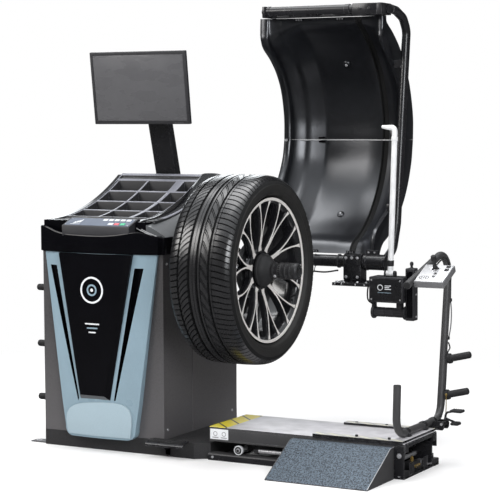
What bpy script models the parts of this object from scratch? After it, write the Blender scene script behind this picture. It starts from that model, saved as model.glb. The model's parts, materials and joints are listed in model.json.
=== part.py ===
"""Wheel balancer with hood, side gauges and a floor wheel lift.

Frame: metres, +Z up. The origin is on the floor under the centre of the cabinet. The spindle
runs along +X, the operator stands on the -Y side, and the hood is hinged behind the wheel.
Run with: blender --background --python part.py
"""

import math

import bmesh
import bpy
from mathutils import Matrix, Quaternion, Vector

# ---------------------------------------------------------------- driving dimensions
GAP = 0.0003                      # clearance between neighbouring pieces
SHEET = 0.003                     # folded sheet metal
MOULDING = 0.004                  # moulded plastic walls

CABINET_HALF_WIDTH = 0.27
CABINET_FRONT, CABINET_REAR = -0.28, 0.28
PLINTH_TOP = 0.06
PLINTH_RIGHT = 0.4495
SHELL_TOP = 0.7557
CONSOLE_BOTTOM, CONSOLE_LEDGE = 0.756, 0.853
CONSOLE_HALF_WIDTH = 0.282

SPINDLE_Y, SPINDLE_Z = -0.12, 0.70
SHAFT_RADIUS = 0.02
RIM_FLANGE_RADIUS = 0.271         # a 20 inch rim over its flanges
TYRE_RADIUS = 0.3537
PULLEY_RADIUS, MOTOR_PULLEY_RADIUS = 0.09, 0.03
MOTOR_Y, MOTOR_Z = 0.08, 0.45

HOOD_AXIS_Y, HOOD_AXIS_Z = 0.36, 0.70
HOOD_BAR_RADIUS = 0.023
HOOD_LEFT, HOOD_RIGHT = 0.305, 0.863
HOOD_CENTRE = (0.266, 1.205)      # centre of the hood's arcs in Y and Z
HOOD_RIM_RADIUS, HOOD_SKIN_RADIUS = 0.392, 0.478
HOOD_BOTTOM, HOOD_SEAM, HOOD_TOP = 0.748, 1.19, 1.655
TOP_BAR_Y, TOP_BAR_Z = 0.395, 1.68
HOOD_TUBE_X = 0.88

GAUGE_PIVOT = (0.943, 0.28, 0.668)
INNER_GAUGE_Y, INNER_GAUGE_Z = 0.06, 0.80
SLIDER_RADIUS = 0.018

MONITOR_LEFT, MONITOR_RIGHT = -0.2655, 0.1775
MONITOR_BOTTOM, MONITOR_TOP = (0.085, 1.237), (0.048, 1.522)
MONITOR_PIVOT = (0.137, 1.385)
POST_LEFT, POST_RIGHT = -0.079, -0.009

PEDAL_PIVOT = (-0.17, 0.035)
BRAKE_PIVOT = (-0.235, 0.60)

LIFT_LEFT, LIFT_RIGHT = 0.458, 1.244
LIFT_FRONT, LIFT_REAR = -0.267, 0.02
LIFT_TOP = 0.127
SKIRT_BOTTOM = 0.072
RAIL_TOP = 0.026
SCISSOR_RIGHT, SCISSOR_SPAN = 1.17, 0.595
SCISSOR_LOW, SCISSOR_HIGH = 0.0445, 0.0845
ROLLER_RADIUS = 0.0175
HANDLE_X, HANDLE_RADIUS = 1.205, 0.014
CONTROL_CENTRE, CONTROL_TILT = (1.2761, -0.082, 0.7), math.radians(25)
JOYSTICK_PIVOT = 0.007            # height of the pivot above the middle of the control box
FOOT_LEVER_PIVOT = (1.256, 0.06, 0.15)
LEVER_PIN_RADIUS = 0.005


# ---------------------------------------------------------------- scene and materials
def empty_scene():
    for old in list(bpy.data.objects):
        bpy.data.objects.remove(old, do_unlink=True)


def new_collection(name):
    collection = bpy.data.collections.new(name)
    bpy.context.scene.collection.children.link(collection)
    return collection


empty_scene()
PARTS = new_collection("wheel_balancer")
CUTTERS = new_collection("cutters")
CUTTERS.hide_render = True


def finish(name, colour, roughness, metallic=0.0):
    material = bpy.data.materials.new(name)
    material.use_nodes = True
    shader = material.node_tree.nodes["Principled BSDF"]
    shader.inputs["Base Color"].default_value = (*colour, 1.0)
    shader.inputs["Roughness"].default_value = roughness
    shader.inputs["Metallic"].default_value = metallic
    material.diffuse_color = (*colour, 1.0)
    return material


HAMMERED = finish("hammered_grey_paint", (0.07, 0.068, 0.072), 0.45)
BLACK_PAINT = finish("black_paint", (0.018, 0.018, 0.02), 0.4)
TRIM_BLUE = finish("trim_plastic", (0.28, 0.41, 0.48), 0.4)
GLOSS_BLACK = finish("gloss_black_plastic", (0.008, 0.008, 0.01), 0.12)
DARK_PLASTIC = finish("dark_plastic", (0.03, 0.03, 0.034), 0.5)
TRAY_PLASTIC = finish("tray_plastic", (0.05, 0.05, 0.054), 0.55)
SCREEN = finish("screen_glass", (0.13, 0.13, 0.135), 0.25)
HOOD_PLASTIC = finish("hood_plastic", (0.012, 0.012, 0.015), 0.3)
STEEL = finish("bright_steel", (0.6, 0.6, 0.62), 0.3, 1.0)
TUBE_STEEL = finish("gauge_tube_aluminium", (0.72, 0.72, 0.73), 0.3, 1.0)
CAST_BLACK = finish("cast_black", (0.04, 0.04, 0.042), 0.5, 0.3)
RUBBER = finish("rubber", (0.018, 0.018, 0.018), 0.8)
TYRE = finish("tyre_rubber", (0.02, 0.02, 0.021), 0.75)
ALLOY = finish("rim_alloy", (0.05, 0.05, 0.055), 0.3, 0.8)
PLATE = finish("lift_plate", (0.5, 0.5, 0.52), 0.4, 0.7)
RAMP_GRIT = finish("ramp_grit", (0.11, 0.14, 0.17), 0.85)
PANEL_SILVER = finish("panel_silver", (0.55, 0.56, 0.58), 0.35, 0.5)


# ---------------------------------------------------------------- modelling helpers
AXES = {"X": Vector((1, 0, 0)), "Y": Vector((0, 1, 0)), "Z": Vector((0, 0, 1))}
# Columns: where an outline's u and v directions point, and the direction it is thickened in.
OUTLINE_PLANES = {
    "X": Matrix(((0, 0, 1), (1, 0, 0), (0, 1, 0))).to_4x4(),    # u = Y, v = Z
    "Y": Matrix(((1, 0, 0), (0, 0, -1), (0, 1, 0))).to_4x4(),   # u = X, v = Z
    "Z": Matrix.Identity(4),                                    # u = X, v = Y
}


def add_object(name, mesh, material):
    obj = bpy.data.objects.new(name, mesh)
    mesh.materials.append(material)
    PARTS.objects.link(obj)
    return obj


def mesh_from(bm, name):
    bmesh.ops.recalc_face_normals(bm, faces=bm.faces)
    mesh = bpy.data.meshes.new(name)
    bm.to_mesh(mesh)
    bm.free()
    return mesh


def smooth(obj, degrees=35):
    obj.data.shade_smooth()
    obj.data.set_sharp_from_angle(angle=math.radians(degrees))
    return obj


def add_bevel(obj, width, segments=1):
    bevel = obj.modifiers.new("edges", "BEVEL")
    bevel.width = width
    bevel.segments = segments
    bevel.limit_method = "ANGLE"
    return obj


def box(name, low, high, material, bevel=0.0):
    """A box between two corners."""
    low, high = Vector(low), Vector(high)
    bm = bmesh.new()
    bmesh.ops.create_cube(bm, size=1.0)
    bmesh.ops.scale(bm, vec=high - low, verts=bm.verts)
    obj = add_object(name, mesh_from(bm, name), material)
    obj.location = (low + high) / 2
    if bevel:
        add_bevel(obj, bevel)
    return obj


def boxes(name, corner_pairs, material):
    """Several separate boxes in one mesh, used as one cutter."""
    bm = bmesh.new()
    for low, high in corner_pairs:
        low, high = Vector(low), Vector(high)
        place = Matrix.Translation((low + high) / 2) @ Matrix.Diagonal((*(high - low), 1))
        bmesh.ops.create_cube(bm, size=1.0, matrix=place)
    return add_object(name, mesh_from(bm, name), material)


def rod(name, start, end, radius, material, sides=16, end_radius=None):
    """A round bar, or a cone, between two points."""
    start, end = Vector(start), Vector(end)
    bm = bmesh.new()
    bmesh.ops.create_cone(bm, cap_ends=True, segments=sides, radius1=radius,
                          radius2=radius if end_radius is None else end_radius,
                          depth=(end - start).length)
    obj = add_object(name, mesh_from(bm, name), material)
    obj.location = (start + end) / 2
    obj.rotation_mode = "QUATERNION"
    obj.rotation_quaternion = AXES["Z"].rotation_difference(end - start)
    return smooth(obj)


def turned(name, profile, centre, material, axis="X", sides=32, ring=False):
    """A turned piece. The profile lists (distance along the axis, radius) from the low end to the
    high end on its outer side; a ring's profile then comes back along its bore."""
    mesh = bpy.data.meshes.new(name)
    points = [(radius, 0.0, along) for along, radius in profile]
    points.reverse()
    edges = [(i, i + 1) for i in range(len(points) - 1)]
    if ring:
        edges.append((len(points) - 1, 0))
    mesh.from_pydata(points, edges, [])
    obj = add_object(name, mesh, material)
    screw = obj.modifiers.new("turn", "SCREW")
    screw.steps = screw.render_steps = sides
    screw.use_merge_vertices = True
    screw.merge_threshold = 0.00001
    screw.use_smooth_shade = True
    obj.rotation_mode = "QUATERNION"
    obj.rotation_quaternion = AXES["Z"].rotation_difference(AXES[axis])
    obj.location = centre
    return obj


def ring(name, low, high, outer, bore, centre, material, axis="X", sides=24):
    """A plain ring between two distances along its axis."""
    profile = [(low, outer), (high, outer), (high, bore), (low, bore)]
    return turned(name, profile, centre, material, axis, sides, ring=True)


def curve_to_solid(curve, name, place, material):
    guide = bpy.data.objects.new(name + "_curve", curve)
    guide.matrix_world = place
    bpy.context.scene.collection.objects.link(guide)
    bpy.context.view_layer.update()
    evaluated = guide.evaluated_get(bpy.context.evaluated_depsgraph_get())
    mesh = bpy.data.meshes.new_from_object(evaluated)
    mesh.name = name
    bpy.data.objects.remove(guide)
    bm = bmesh.new()
    bm.from_mesh(mesh)
    bmesh.ops.remove_doubles(bm, verts=bm.verts, dist=0.00001)
    bmesh.ops.recalc_face_normals(bm, faces=bm.faces)
    bm.to_mesh(mesh)
    bm.free()
    mesh.materials.clear()
    obj = add_object(name, mesh, material)
    obj.matrix_world = place
    return obj


def plate(name, outline, axis, low, high, material, holes=()):
    """A flat outline, thickened between two distances along an axis."""
    curve = bpy.data.curves.new(name, "CURVE")
    curve.dimensions = "2D"
    curve.fill_mode = "BOTH"
    curve.extrude = (high - low) / 2
    for loop in (outline, *holes):
        spline = curve.splines.new("POLY")
        spline.points.add(len(loop) - 1)
        for point, (u, v) in zip(spline.points, loop):
            point.co = (u, v, 0.0, 1.0)
        spline.use_cyclic_u = True
    middle = Matrix.Translation(AXES[axis] * (low + high) / 2)
    return curve_to_solid(curve, name, middle @ OUTLINE_PLANES[axis], material)


def tube(name, path, radius, material, sides=12):
    """A round tube or wire along a path of points."""
    curve = bpy.data.curves.new(name, "CURVE")
    curve.dimensions = "3D"
    curve.bevel_depth = radius
    curve.bevel_resolution = (sides - 4) // 2
    curve.use_fill_caps = True
    spline = curve.splines.new("POLY")
    spline.points.add(len(path) - 1)
    for point, place in zip(spline.points, path):
        point.co = (*place, 1.0)
    return smooth(curve_to_solid(curve, name, Matrix.Identity(4), material))


def arc(centre, radius, start, end, steps):
    """Points on a circle, from one angle to another, in degrees."""
    points = []
    for i in range(steps + 1):
        angle = math.radians(start + (end - start) * i / steps)
        points.append((centre[0] + radius * math.cos(angle), centre[1] + radius * math.sin(angle)))
    return points


def bent(corners, radii, steps=5):
    """A path through corners, each inner corner rounded to its own bend radius."""
    corners = [Vector(c) for c in corners]
    path = [corners[0]]
    for before, corner, after, radius in zip(corners, corners[1:], corners[2:], radii):
        back, ahead = (before - corner).normalized(), (after - corner).normalized()
        half = back.angle(ahead) / 2
        reach = radius / math.tan(half)
        centre = corner + (back + ahead).normalized() * radius / math.sin(half)
        start, end = corner + back * reach - centre, corner + ahead * reach - centre
        turn = start.rotation_difference(end)
        for i in range(steps + 1):
            path.append(centre + Quaternion().slerp(turn, i / steps) @ start)
    path.append(corners[-1])
    return path


def combine(target, tool, operation):
    tool.parent = target
    bpy.context.view_layer.update()
    tool.matrix_parent_inverse = target.matrix_world.inverted()
    PARTS.objects.unlink(tool)
    CUTTERS.objects.link(tool)
    tool.hide_render = True
    tool.display_type = "WIRE"
    boolean = target.modifiers.new(tool.name, "BOOLEAN")
    boolean.operation = operation
    boolean.object = tool
    return target


def cut(target, *tools):
    for tool in tools:
        combine(target, tool, "DIFFERENCE")
    return target


def join(target, *tools):
    for tool in tools:
        combine(target, tool, "UNION")
    return target


def keep_inside(target, tool):
    return combine(target, tool, "INTERSECT")


def pivot(name, place, *pieces):
    """An empty on a joint's axis, which carries the pieces that move with the joint."""
    empty = bpy.data.objects.new(name, None)
    empty.location = place
    PARTS.objects.link(empty)
    for piece in pieces:
        piece.parent = empty
        piece.matrix_parent_inverse = Matrix.Translation(-Vector(place))
    return empty


# ---------------------------------------------------------------- cabinet
def base_plinth():
    right, front, rear = PLINTH_RIGHT, CABINET_FRONT, CABINET_REAR
    outline = [(-0.27, front), (0.398, front), (right, -0.245), (right, 0.05), (0.27, 0.11),
               (0.27, rear), (-0.27, rear)]
    plinth = plate("base_plinth", outline, "Z", 0, PLINTH_TOP, HAMMERED)
    room = box("plinth_room", (-0.267, front + SHEET, SHEET), (0.267, rear - SHEET, 0.1), HAMMERED)
    wing_room = box("plinth_wing_room", (0.2, front + SHEET, SHEET), (0.396, 0.05, PLINTH_TOP - SHEET),
                    HAMMERED)
    slot = box("pedal_slot", (0.274, front - 0.01, 0.006), (0.296, front + 0.01, 0.052), HAMMERED)
    lug = plate("floor_lug", [(-0.35, -0.265), (-0.26, -0.265), (-0.26, -0.215), (-0.335, -0.215),
                              (-0.35, -0.23)], "Z", 0, 0.004, HAMMERED,
                holes=[arc((-0.327, -0.242), 0.008, 0, 330, 11)])
    return join(cut(plinth, room, wing_room, slot), lug)


def cabinet_shell():
    """A folded sheet: front and both sides, with rear flanges and a pressed band on the right."""
    w, front, rear, t = CABINET_HALF_WIDTH, CABINET_FRONT, CABINET_REAR, SHEET
    flange, press = 0.02, 0.002
    outside = [(-w, rear), (-w, front), (w, front), (w, -0.184), (w - press, -0.183),
               (w - press, -0.069), (w, -0.068), (w, rear)]
    inside = [(w - flange, rear), (w - flange, rear - t), (w - t, rear - t), (w - t, -0.068),
              (w - t - press, -0.069), (w - t - press, -0.183), (w - t, -0.184), (w - t, front + t),
              (-w + t, front + t), (-w + t, rear - t), (-w + flange, rear - t), (-w + flange, rear)]
    shell = plate("cabinet_shell", outside + inside, "Z", PLINTH_TOP + GAP, SHELL_TOP, HAMMERED)
    spindle_hole = rod("spindle_hole", (0.25, SPINDLE_Y, SPINDLE_Z), (0.3, SPINDLE_Y, SPINDLE_Z),
                       0.0525, HAMMERED, 24)
    return cut(shell, spindle_hole)


def rear_panel():
    panel = box("rear_panel", (-0.268, CABINET_REAR + GAP, 0.064), (0.268, CABINET_REAR + SHEET, 0.752),
                HAMMERED)
    slots = [((-0.11, 0.27, z), (0.11, 0.29, z + 0.008)) for z in (0.16, 0.19, 0.22, 0.25, 0.28)]
    return cut(panel, boxes("air_slots", slots, HAMMERED))


def bow(half_width, front, rise, steps):
    """The bowed front line of a moulding in plan: rise is how far its middle stands forward."""
    line = []
    for i in range(steps + 1):
        x = half_width * (2 * i / steps - 1)
        line.append((x, front - rise * (1 - (x / half_width) ** 2)))
    return line


def trim_outline(inset):
    """The front trim's shield outline in X and Z, and the same outline drawn in by an inset."""
    top, low = 0.7545 - inset, 0.052 + inset
    side = 0.252 - inset
    knee, foot = 0.187 - inset, 0.168 - inset
    return [(-side, top), (-knee, 0.19), (-foot, low + 0.035), (-foot + 0.028, low),
            (foot - 0.028, low), (foot, low + 0.035), (knee, 0.19), (side, top)]


CENTRE_PANEL_OUTLINE = [(-0.172, 0.7545), (-0.085, 0.2), (0.05, 0.2), (0.158, 0.7545)]


def front_trim():
    back = CABINET_FRONT - GAP
    trim = plate("front_trim", trim_outline(0), "Y", -0.34, back, TRIM_BLUE)
    keep_inside(trim, plate("trim_bow", bow(0.26, -0.287, 0.036, 12) + [(0.26, -0.2), (-0.26, -0.2)],
                            "Z", 0, 0.8, TRIM_BLUE))
    hollow = plate("trim_hollow", trim_outline(MOULDING), "Y", -0.34, back + 0.01, TRIM_BLUE)
    keep_inside(hollow, plate("trim_hollow_bow", bow(0.26, -0.283, 0.036, 12)
                              + [(0.26, -0.2), (-0.26, -0.2)], "Z", 0, 0.8, TRIM_BLUE))
    opening = plate("centre_opening", CENTRE_PANEL_OUTLINE, "Y", -0.35, -0.25, TRIM_BLUE)
    slots = [[(-0.222, 0.705), (-0.19, 0.705), (-0.094, 0.215), (-0.099, 0.215)],
             [(0.17, 0.705), (0.202, 0.705), (0.073, 0.215), (0.068, 0.215)]]
    cut(trim, hollow, opening)
    for side, outline in zip(("left", "right"), slots):
        cut(trim, plate(f"trim_slot_{side}", outline, "Y", -0.35, -0.25, TRIM_BLUE))
    return trim


def front_centre_panel():
    """A proud V-shaped panel: its front face is smaller than its foot in the trim's opening."""
    foot = [(-0.17, 0.7542), (-0.0835, 0.2005), (0.0485, 0.2005), (0.156, 0.7542)]
    face = [(-0.165, 0.7535), (-0.081, 0.214), (0.028, 0.214), (0.137, 0.7535)]
    panel = plate("front_centre_panel", foot, "Y", -0.322, CABINET_FRONT - GAP, GLOSS_BLACK)
    return join(panel, plate("panel_face", face, "Y", -0.334, -0.3, GLOSS_BLACK))


def tray_height(y):
    """The height of the tray's top edge, which sweeps up towards the rear."""
    return 0.874 + 0.606 * max(y + 0.274, 0.0) ** 2.14


def sweep_profile(front, rear, steps, lift):
    """Points along the tray's sweep in Y and Z, raised by lift."""
    return [(front + (rear - front) * i / steps, tray_height(front + (rear - front) * i / steps) + lift)
            for i in range(steps + 1)]


TRAY_LEFT, TRAY_RIGHT, TRAY_FRONT, TRAY_REAR = -0.252, 0.212, -0.225, 0.262
KEYPAD_LEFT, KEYPAD_RIGHT = -0.155, 0.145


def console_cover():
    w = CONSOLE_HALF_WIDTH
    band_plan = [(w, 0.28), (-w, 0.28), (-w, -0.27)] + bow(w - 0.014, -0.3, 0.026, 10) + [(w, -0.27)]
    cover = plate("console_cover", band_plan, "Z", CONSOLE_BOTTOM, CONSOLE_LEDGE, GLOSS_BLACK)
    shoulder_side = sweep_profile(-0.274, 0.255, 8, 0) + [(0.279, 1.03), (0.279, 0.84), (-0.296, 0.84)]
    shoulder = plate("console_shoulder", shoulder_side, "X", -0.268, 0.268, GLOSS_BLACK)
    inner_side = sweep_profile(-0.268, 0.255, 8, -MOULDING) + [(0.275, 1.024), (0.275, 0.7), (-0.268, 0.7)]
    hollow = plate("console_hollow", inner_side, "X", -0.262, 0.262, GLOSS_BLACK)
    pocket = box("tray_pocket", (TRAY_LEFT - GAP, TRAY_FRONT - GAP, 0.80),
                 (TRAY_RIGHT + GAP, TRAY_REAR + GAP, 1.1), GLOSS_BLACK)
    keypad_room = box("keypad_room", (KEYPAD_LEFT - GAP, -0.35, CONSOLE_LEDGE),
                      (KEYPAD_RIGHT + GAP, -0.2357, 0.92), GLOSS_BLACK)
    slider_hole = rod("slider_hole", (0.25, INNER_GAUGE_Y, INNER_GAUGE_Z), (0.3, INNER_GAUGE_Y, INNER_GAUGE_Z),
                      SLIDER_RADIUS + 0.0005, GLOSS_BLACK, 20)
    return cut(join(cover, shoulder), hollow, pocket, keypad_room, slider_hole)


def tray_slice(front, rear, top, bottom):
    """A slice of the tray in Y and Z between two heights measured from its sweep."""
    return sweep_profile(front, rear, 4, top) + list(reversed(sweep_profile(front, rear, 4, bottom)))


def weight_tray():
    """Four rows of pockets that follow the sweep, divided by two ribs, the right one wider."""
    tray = plate("weight_tray", tray_slice(TRAY_FRONT, TRAY_REAR, 0.002, -0.05), "X", TRAY_LEFT, TRAY_RIGHT,
                 TRAY_PLASTIC)
    for i, (front, rear) in enumerate(((-0.145, -0.049), (-0.041, 0.05), (0.058, 0.138), (0.146, 0.22))):
        row = tray_slice(front, rear, 0.05, -0.044)
        cut(tray, plate(f"tray_row_{i}", row, "X", -0.238, 0.196, TRAY_PLASTIC))
    for side, left, right in (("left", -0.104, -0.096), ("right", 0.036, 0.052)):
        rib = tray_slice(-0.15, 0.225, -0.003, -0.047)
        join(tray, plate(f"tray_rib_{side}", rib, "X", left, right, TRAY_PLASTIC))
    return tray


def keypad_panel():
    side = [(-0.318, CONSOLE_LEDGE + GAP), (-0.318, 0.858), (-0.252, 0.8845), (-0.236, 0.8845),
            (-0.236, CONSOLE_LEDGE + GAP)]
    return plate("keypad_panel", side, "X", KEYPAD_LEFT, KEYPAD_RIGHT, DARK_PLASTIC)


def side_peg(name, height):
    """A cone peg on the cabinet's left wall, for the spare centring cones."""
    wall, y = -CABINET_HALF_WIDTH - GAP, -0.2
    peg = rod(name, (wall - 0.003, y, height), (wall - 0.095, y, height), 0.0135, RUBBER)
    return join(peg, rod(name + "_collar", (wall, y, height), (wall - 0.006, y, height), 0.022, RUBBER))


def monitor_post():
    outline = [(0.2836, 0.78), (0.3236, 0.78), (0.3236, 1.03), (0.212, 1.42), (0.174, 1.41),
               (0.2836, 1.02)]
    post = plate("monitor_post", outline, "X", POST_LEFT, POST_RIGHT, BLACK_PAINT)
    channel = [(0.2866, 0.77), (0.34, 0.77), (0.34, 1.02), (0.225, 1.43), (0.1775, 1.4075),
               (0.2866, 1.02)]
    cut(post, plate("post_channel", channel, "X", POST_LEFT + SHEET, POST_RIGHT - SHEET, BLACK_PAINT))
    y, z = MONITOR_PIVOT
    ear = [(y - 0.014, z - 0.014), (0.2, z - 0.014), (0.19, z + 0.02), (y - 0.014, z + 0.014)]
    ears = [plate(f"post_ear_{side}", ear, "X", low, low + 0.008, BLACK_PAINT)
            for side, low in (("left", -0.07), ("right", -0.026))]
    return join(post, *ears)


# ---------------------------------------------------------------- monitor
def monitor_frame():
    """Unit vectors up the monitor's front face and out of its back, in Y and Z."""
    up = (Vector(MONITOR_TOP) - Vector(MONITOR_BOTTOM)).normalized()
    return up, Vector((up.y, -up.x))


def monitor_slab(depth_front, depth_back, inset):
    """The monitor's side outline between two depths behind its front face."""
    up, back = monitor_frame()
    low, high = Vector(MONITOR_BOTTOM) + up * inset, Vector(MONITOR_TOP) - up * inset
    corners = (low + back * depth_front, low + back * depth_back, high + back * depth_back,
               high + back * depth_front)
    return [tuple(corner) for corner in corners]


def monitor_housing():
    housing = plate("monitor_housing", monitor_slab(0, 0.03, 0), "X", MONITOR_LEFT, MONITOR_RIGHT,
                    DARK_PLASTIC)
    recess = plate("screen_recess", monitor_slab(-0.01, 0.004, 0.013), "X", MONITOR_LEFT + 0.013,
                   MONITOR_RIGHT - 0.013, DARK_PLASTIC)
    y, z = MONITOR_PIVOT
    neck = plate("monitor_neck", [(0.08, z - 0.01), (y, z - 0.01), (y, z + 0.01), (0.08, z + 0.01)],
                 "X", -0.06, -0.028, DARK_PLASTIC)
    barrel = rod("tilt_barrel", (-0.06, y, z), (-0.028, y, z), 0.0115, DARK_PLASTIC)
    return cut(join(housing, neck, barrel), recess)


def monitor_screen():
    return plate("monitor_screen", monitor_slab(0.0015, 0.004 - GAP, 0.0133), "X",
                 MONITOR_LEFT + 0.0133, MONITOR_RIGHT - 0.0133, SCREEN)


# ---------------------------------------------------------------- spindle and its drive
SPINDLE = (0.0, SPINDLE_Y, SPINDLE_Z)


def spindle_housing():
    profile = [(0.02, 0.046), (0.25, 0.046), (0.25, 0.0515), (0.335, 0.0515), (0.355, 0.042),
               (0.355, 0.0385), (0.02, 0.0385)]
    return turned("spindle_housing", profile, SPINDLE, CAST_BLACK, sides=28, ring=True)


def bearing(name, start):
    return ring(name, start, start + 0.02, 0.0385 - GAP, SHAFT_RADIUS + GAP, SPINDLE, STEEL)


def housing_pedestal():
    pedestal = box("housing_pedestal", (0.07, -0.19, SHEET + GAP), (0.23, -0.05, 0.69), CAST_BLACK)
    hollow = box("pedestal_hollow", (0.0, -0.18, 0.02), (0.3, -0.06, 0.64), CAST_BLACK)
    saddle = rod("saddle", (0.0, SPINDLE_Y, SPINDLE_Z), (0.3, SPINDLE_Y, SPINDLE_Z), 0.0464,
                 CAST_BLACK, 28)
    return cut(pedestal, hollow, saddle)


def spindle_shaft():
    r = SHAFT_RADIUS
    profile = [(-0.03, 0), (-0.03, r), (0.356, r), (0.356, 0.033), (0.4497, 0.033), (0.4497, r),
               (0.742, r), (0.745, r - 0.003), (0.745, 0)]
    return turned("spindle_shaft", profile, SPINDLE, STEEL, sides=24)


def spindle_pulley():
    return ring("spindle_pulley", -0.02, 0.0, PULLEY_RADIUS, SHAFT_RADIUS + GAP, SPINDLE, CAST_BLACK,
                sides=36)


def backing_flange():
    """The flange that the wheel is clamped against, with the centring cone on its front."""
    bore = SHAFT_RADIUS + GAP
    profile = [(0.45, 0.04), (0.51, 0.05), (0.55, 0.105), (0.5697, 0.105), (0.5697, 0.0355),
               (0.59, 0.032), (0.59, bore), (0.45, bore)]
    return turned("backing_flange", profile, SPINDLE, STEEL, sides=32, ring=True)


def wheel_rim():
    """A wide alloy rim: the barrel with its two flanges, and a disc with ten windows."""
    lip = RIM_FLANGE_RADIUS
    barrel = [(0.412, lip - 0.003), (0.415, lip), (0.424, lip), (0.4245, 0.2535), (0.44, 0.2535),
              (0.455, 0.226), (0.5, 0.226), (0.52, 0.2535), (0.6275, 0.2535), (0.628, lip),
              (0.637, lip), (0.64, lip - 0.004), (0.634, 0.247), (0.524, 0.247), (0.504, 0.22),
              (0.451, 0.22), (0.436, 0.247), (0.418, 0.247)]
    rim = turned("wheel_rim", barrel, SPINDLE, ALLOY, sides=36, ring=True)
    disc_profile = [(0.57, 0.08), (0.577, 0.2505), (0.6, 0.2505), (0.597, 0.08), (0.6, 0.0359),
                    (0.57, 0.0359)]
    disc = turned("rim_disc", disc_profile, SPINDLE, ALLOY, sides=36, ring=True)
    join(rim, disc)
    window = [(0.1, -0.016), (0.236, -0.052), (0.24, 0.0), (0.236, 0.052), (0.1, 0.016)]
    for i in range(10):
        turn = math.radians(36 * i)
        outline = [(SPINDLE_Y + u * math.cos(turn) - v * math.sin(turn),
                    SPINDLE_Z + u * math.sin(turn) + v * math.cos(turn)) for u, v in window]
        cut(rim, plate(f"rim_window_{i}", outline, "X", 0.55, 0.62, ALLOY))
    return rim


def wheel_tyre():
    """A low-profile tyre: tread, sidewalls and beads as one hollow ring, open to the rim."""
    right = [(0.607, TYRE_RADIUS), (0.634, 0.349), (0.65, 0.335), (0.657, 0.31), (0.65, 0.287),
             (0.638, 0.275), (0.6275, 0.2713), (0.6271, 0.256)]
    lining = [(0.619, 0.256), (0.622, 0.28), (0.645, 0.305), (0.635, 0.33), (0.6, 0.341)]
    middle = 0.526
    profile = [(2 * middle - x, r) for x, r in reversed(right)] + right
    profile += lining + [(2 * middle - x, r) for x, r in reversed(lining)]
    return turned("wheel_tyre", profile, SPINDLE, TYRE, sides=36, ring=True)


def pressure_cup():
    bore = SHAFT_RADIUS + GAP
    profile = [(0.6006, 0.058), (0.604, 0.0625), (0.62, 0.061), (0.638, 0.05), (0.65, 0.034),
               (0.65, bore), (0.6006, bore)]
    return turned("pressure_cup", profile, SPINDLE, CAST_BLACK, sides=28, ring=True)


def quick_nut():
    bore = SHAFT_RADIUS + GAP
    profile = [(0.6504, 0.03), (0.66, 0.031), (0.665, 0.028), (0.678, 0.028), (0.683, 0.031), (0.748, 0.031),
               (0.757, 0.024), (0.757, 0.008), (0.748, 0.008), (0.748, bore), (0.6504, bore)]
    return turned("quick_nut", profile, SPINDLE, CAST_BLACK, sides=24, ring=True)


def drive_motor():
    body = rod("drive_motor", (0.03, MOTOR_Y, MOTOR_Z), (0.2, MOTOR_Y, MOTOR_Z), 0.06, CAST_BLACK, 24)
    foot = box("motor_foot", (0.05, MOTOR_Y - 0.129, MOTOR_Z - 0.07), (0.17, MOTOR_Y + 0.03, MOTOR_Z - 0.05),
               CAST_BLACK)
    return join(body, foot)


def motor_pulley():
    profile = [(-0.02, 0), (-0.02, MOTOR_PULLEY_RADIUS), (0.0, MOTOR_PULLEY_RADIUS), (0.0, 0.01),
               (0.03 - GAP, 0.01), (0.03 - GAP, 0)]
    return turned("motor_pulley", profile, (0, MOTOR_Y, MOTOR_Z), STEEL, sides=24)


def belt_line(extra, steps=12):
    """A loop in Y and Z around both pulleys, with straight runs that touch both circles."""
    big, small = Vector((SPINDLE_Y, SPINDLE_Z)), Vector((MOTOR_Y, MOTOR_Z))
    between = small - big
    heading = math.degrees(math.atan2(between.y, between.x))
    spread = math.degrees(math.acos((PULLEY_RADIUS - MOTOR_PULLEY_RADIUS) / between.length))
    loop = arc(small, MOTOR_PULLEY_RADIUS + extra, heading - spread, heading + spread, steps // 2)
    return loop + arc(big, PULLEY_RADIUS + extra, heading + spread, heading + 360 - spread, steps)


def drive_belt():
    return plate("drive_belt", belt_line(0.0045), "X", -0.0185, -0.0095, RUBBER, holes=[belt_line(0.0012)])


# ---------------------------------------------------------------- brake
def brake_pedal():
    """A bent plate in front of the plinth; its arm goes in through the slot to the pivot."""
    y, z = PEDAL_PIVOT
    tread = plate("brake_pedal", [(-0.336, 0.046), (-0.332, 0.046), (-0.331, 0.054), (-0.287, 0.064),
                                  (-0.288, 0.068), (-0.336, 0.058)], "X", 0.22, 0.381, BLACK_PAINT)
    arm = plate("pedal_arm", [(-0.325, 0.05), (-0.3, 0.028), (y, z - 0.008), (y + 0.01, z),
                              (y, z + 0.008), (-0.295, 0.04), (-0.305, 0.062)], "X", 0.28, 0.29, BLACK_PAINT)
    hub = rod("pedal_hub", (0.272, y, z), (0.298, y, z), 0.012, BLACK_PAINT)
    return join(tread, arm, hub)


def brake_lever():
    """The lever that presses its shoe on the spindle pulley when the pedal goes down."""
    y, z = BRAKE_PIVOT
    outline = [(y - 0.01, z - 0.01), (y + 0.01, z - 0.01), (y + 0.012, z + 0.07), (-0.2134, z + 0.085),
               (-0.2134, z + 0.115), (y - 0.008, z + 0.11)]
    return plate("brake_lever", outline, "X", -0.0085, -0.001, STEEL)


# ---------------------------------------------------------------- inner gauge
def inner_gauge_slider():
    """A guide tube that slides out through the console's right wall."""
    centre = (0, INNER_GAUGE_Y, INNER_GAUGE_Z)
    return ring("inner_gauge_slider", 0.2, 0.297, SLIDER_RADIUS, 0.013, centre, DARK_PLASTIC)


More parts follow.
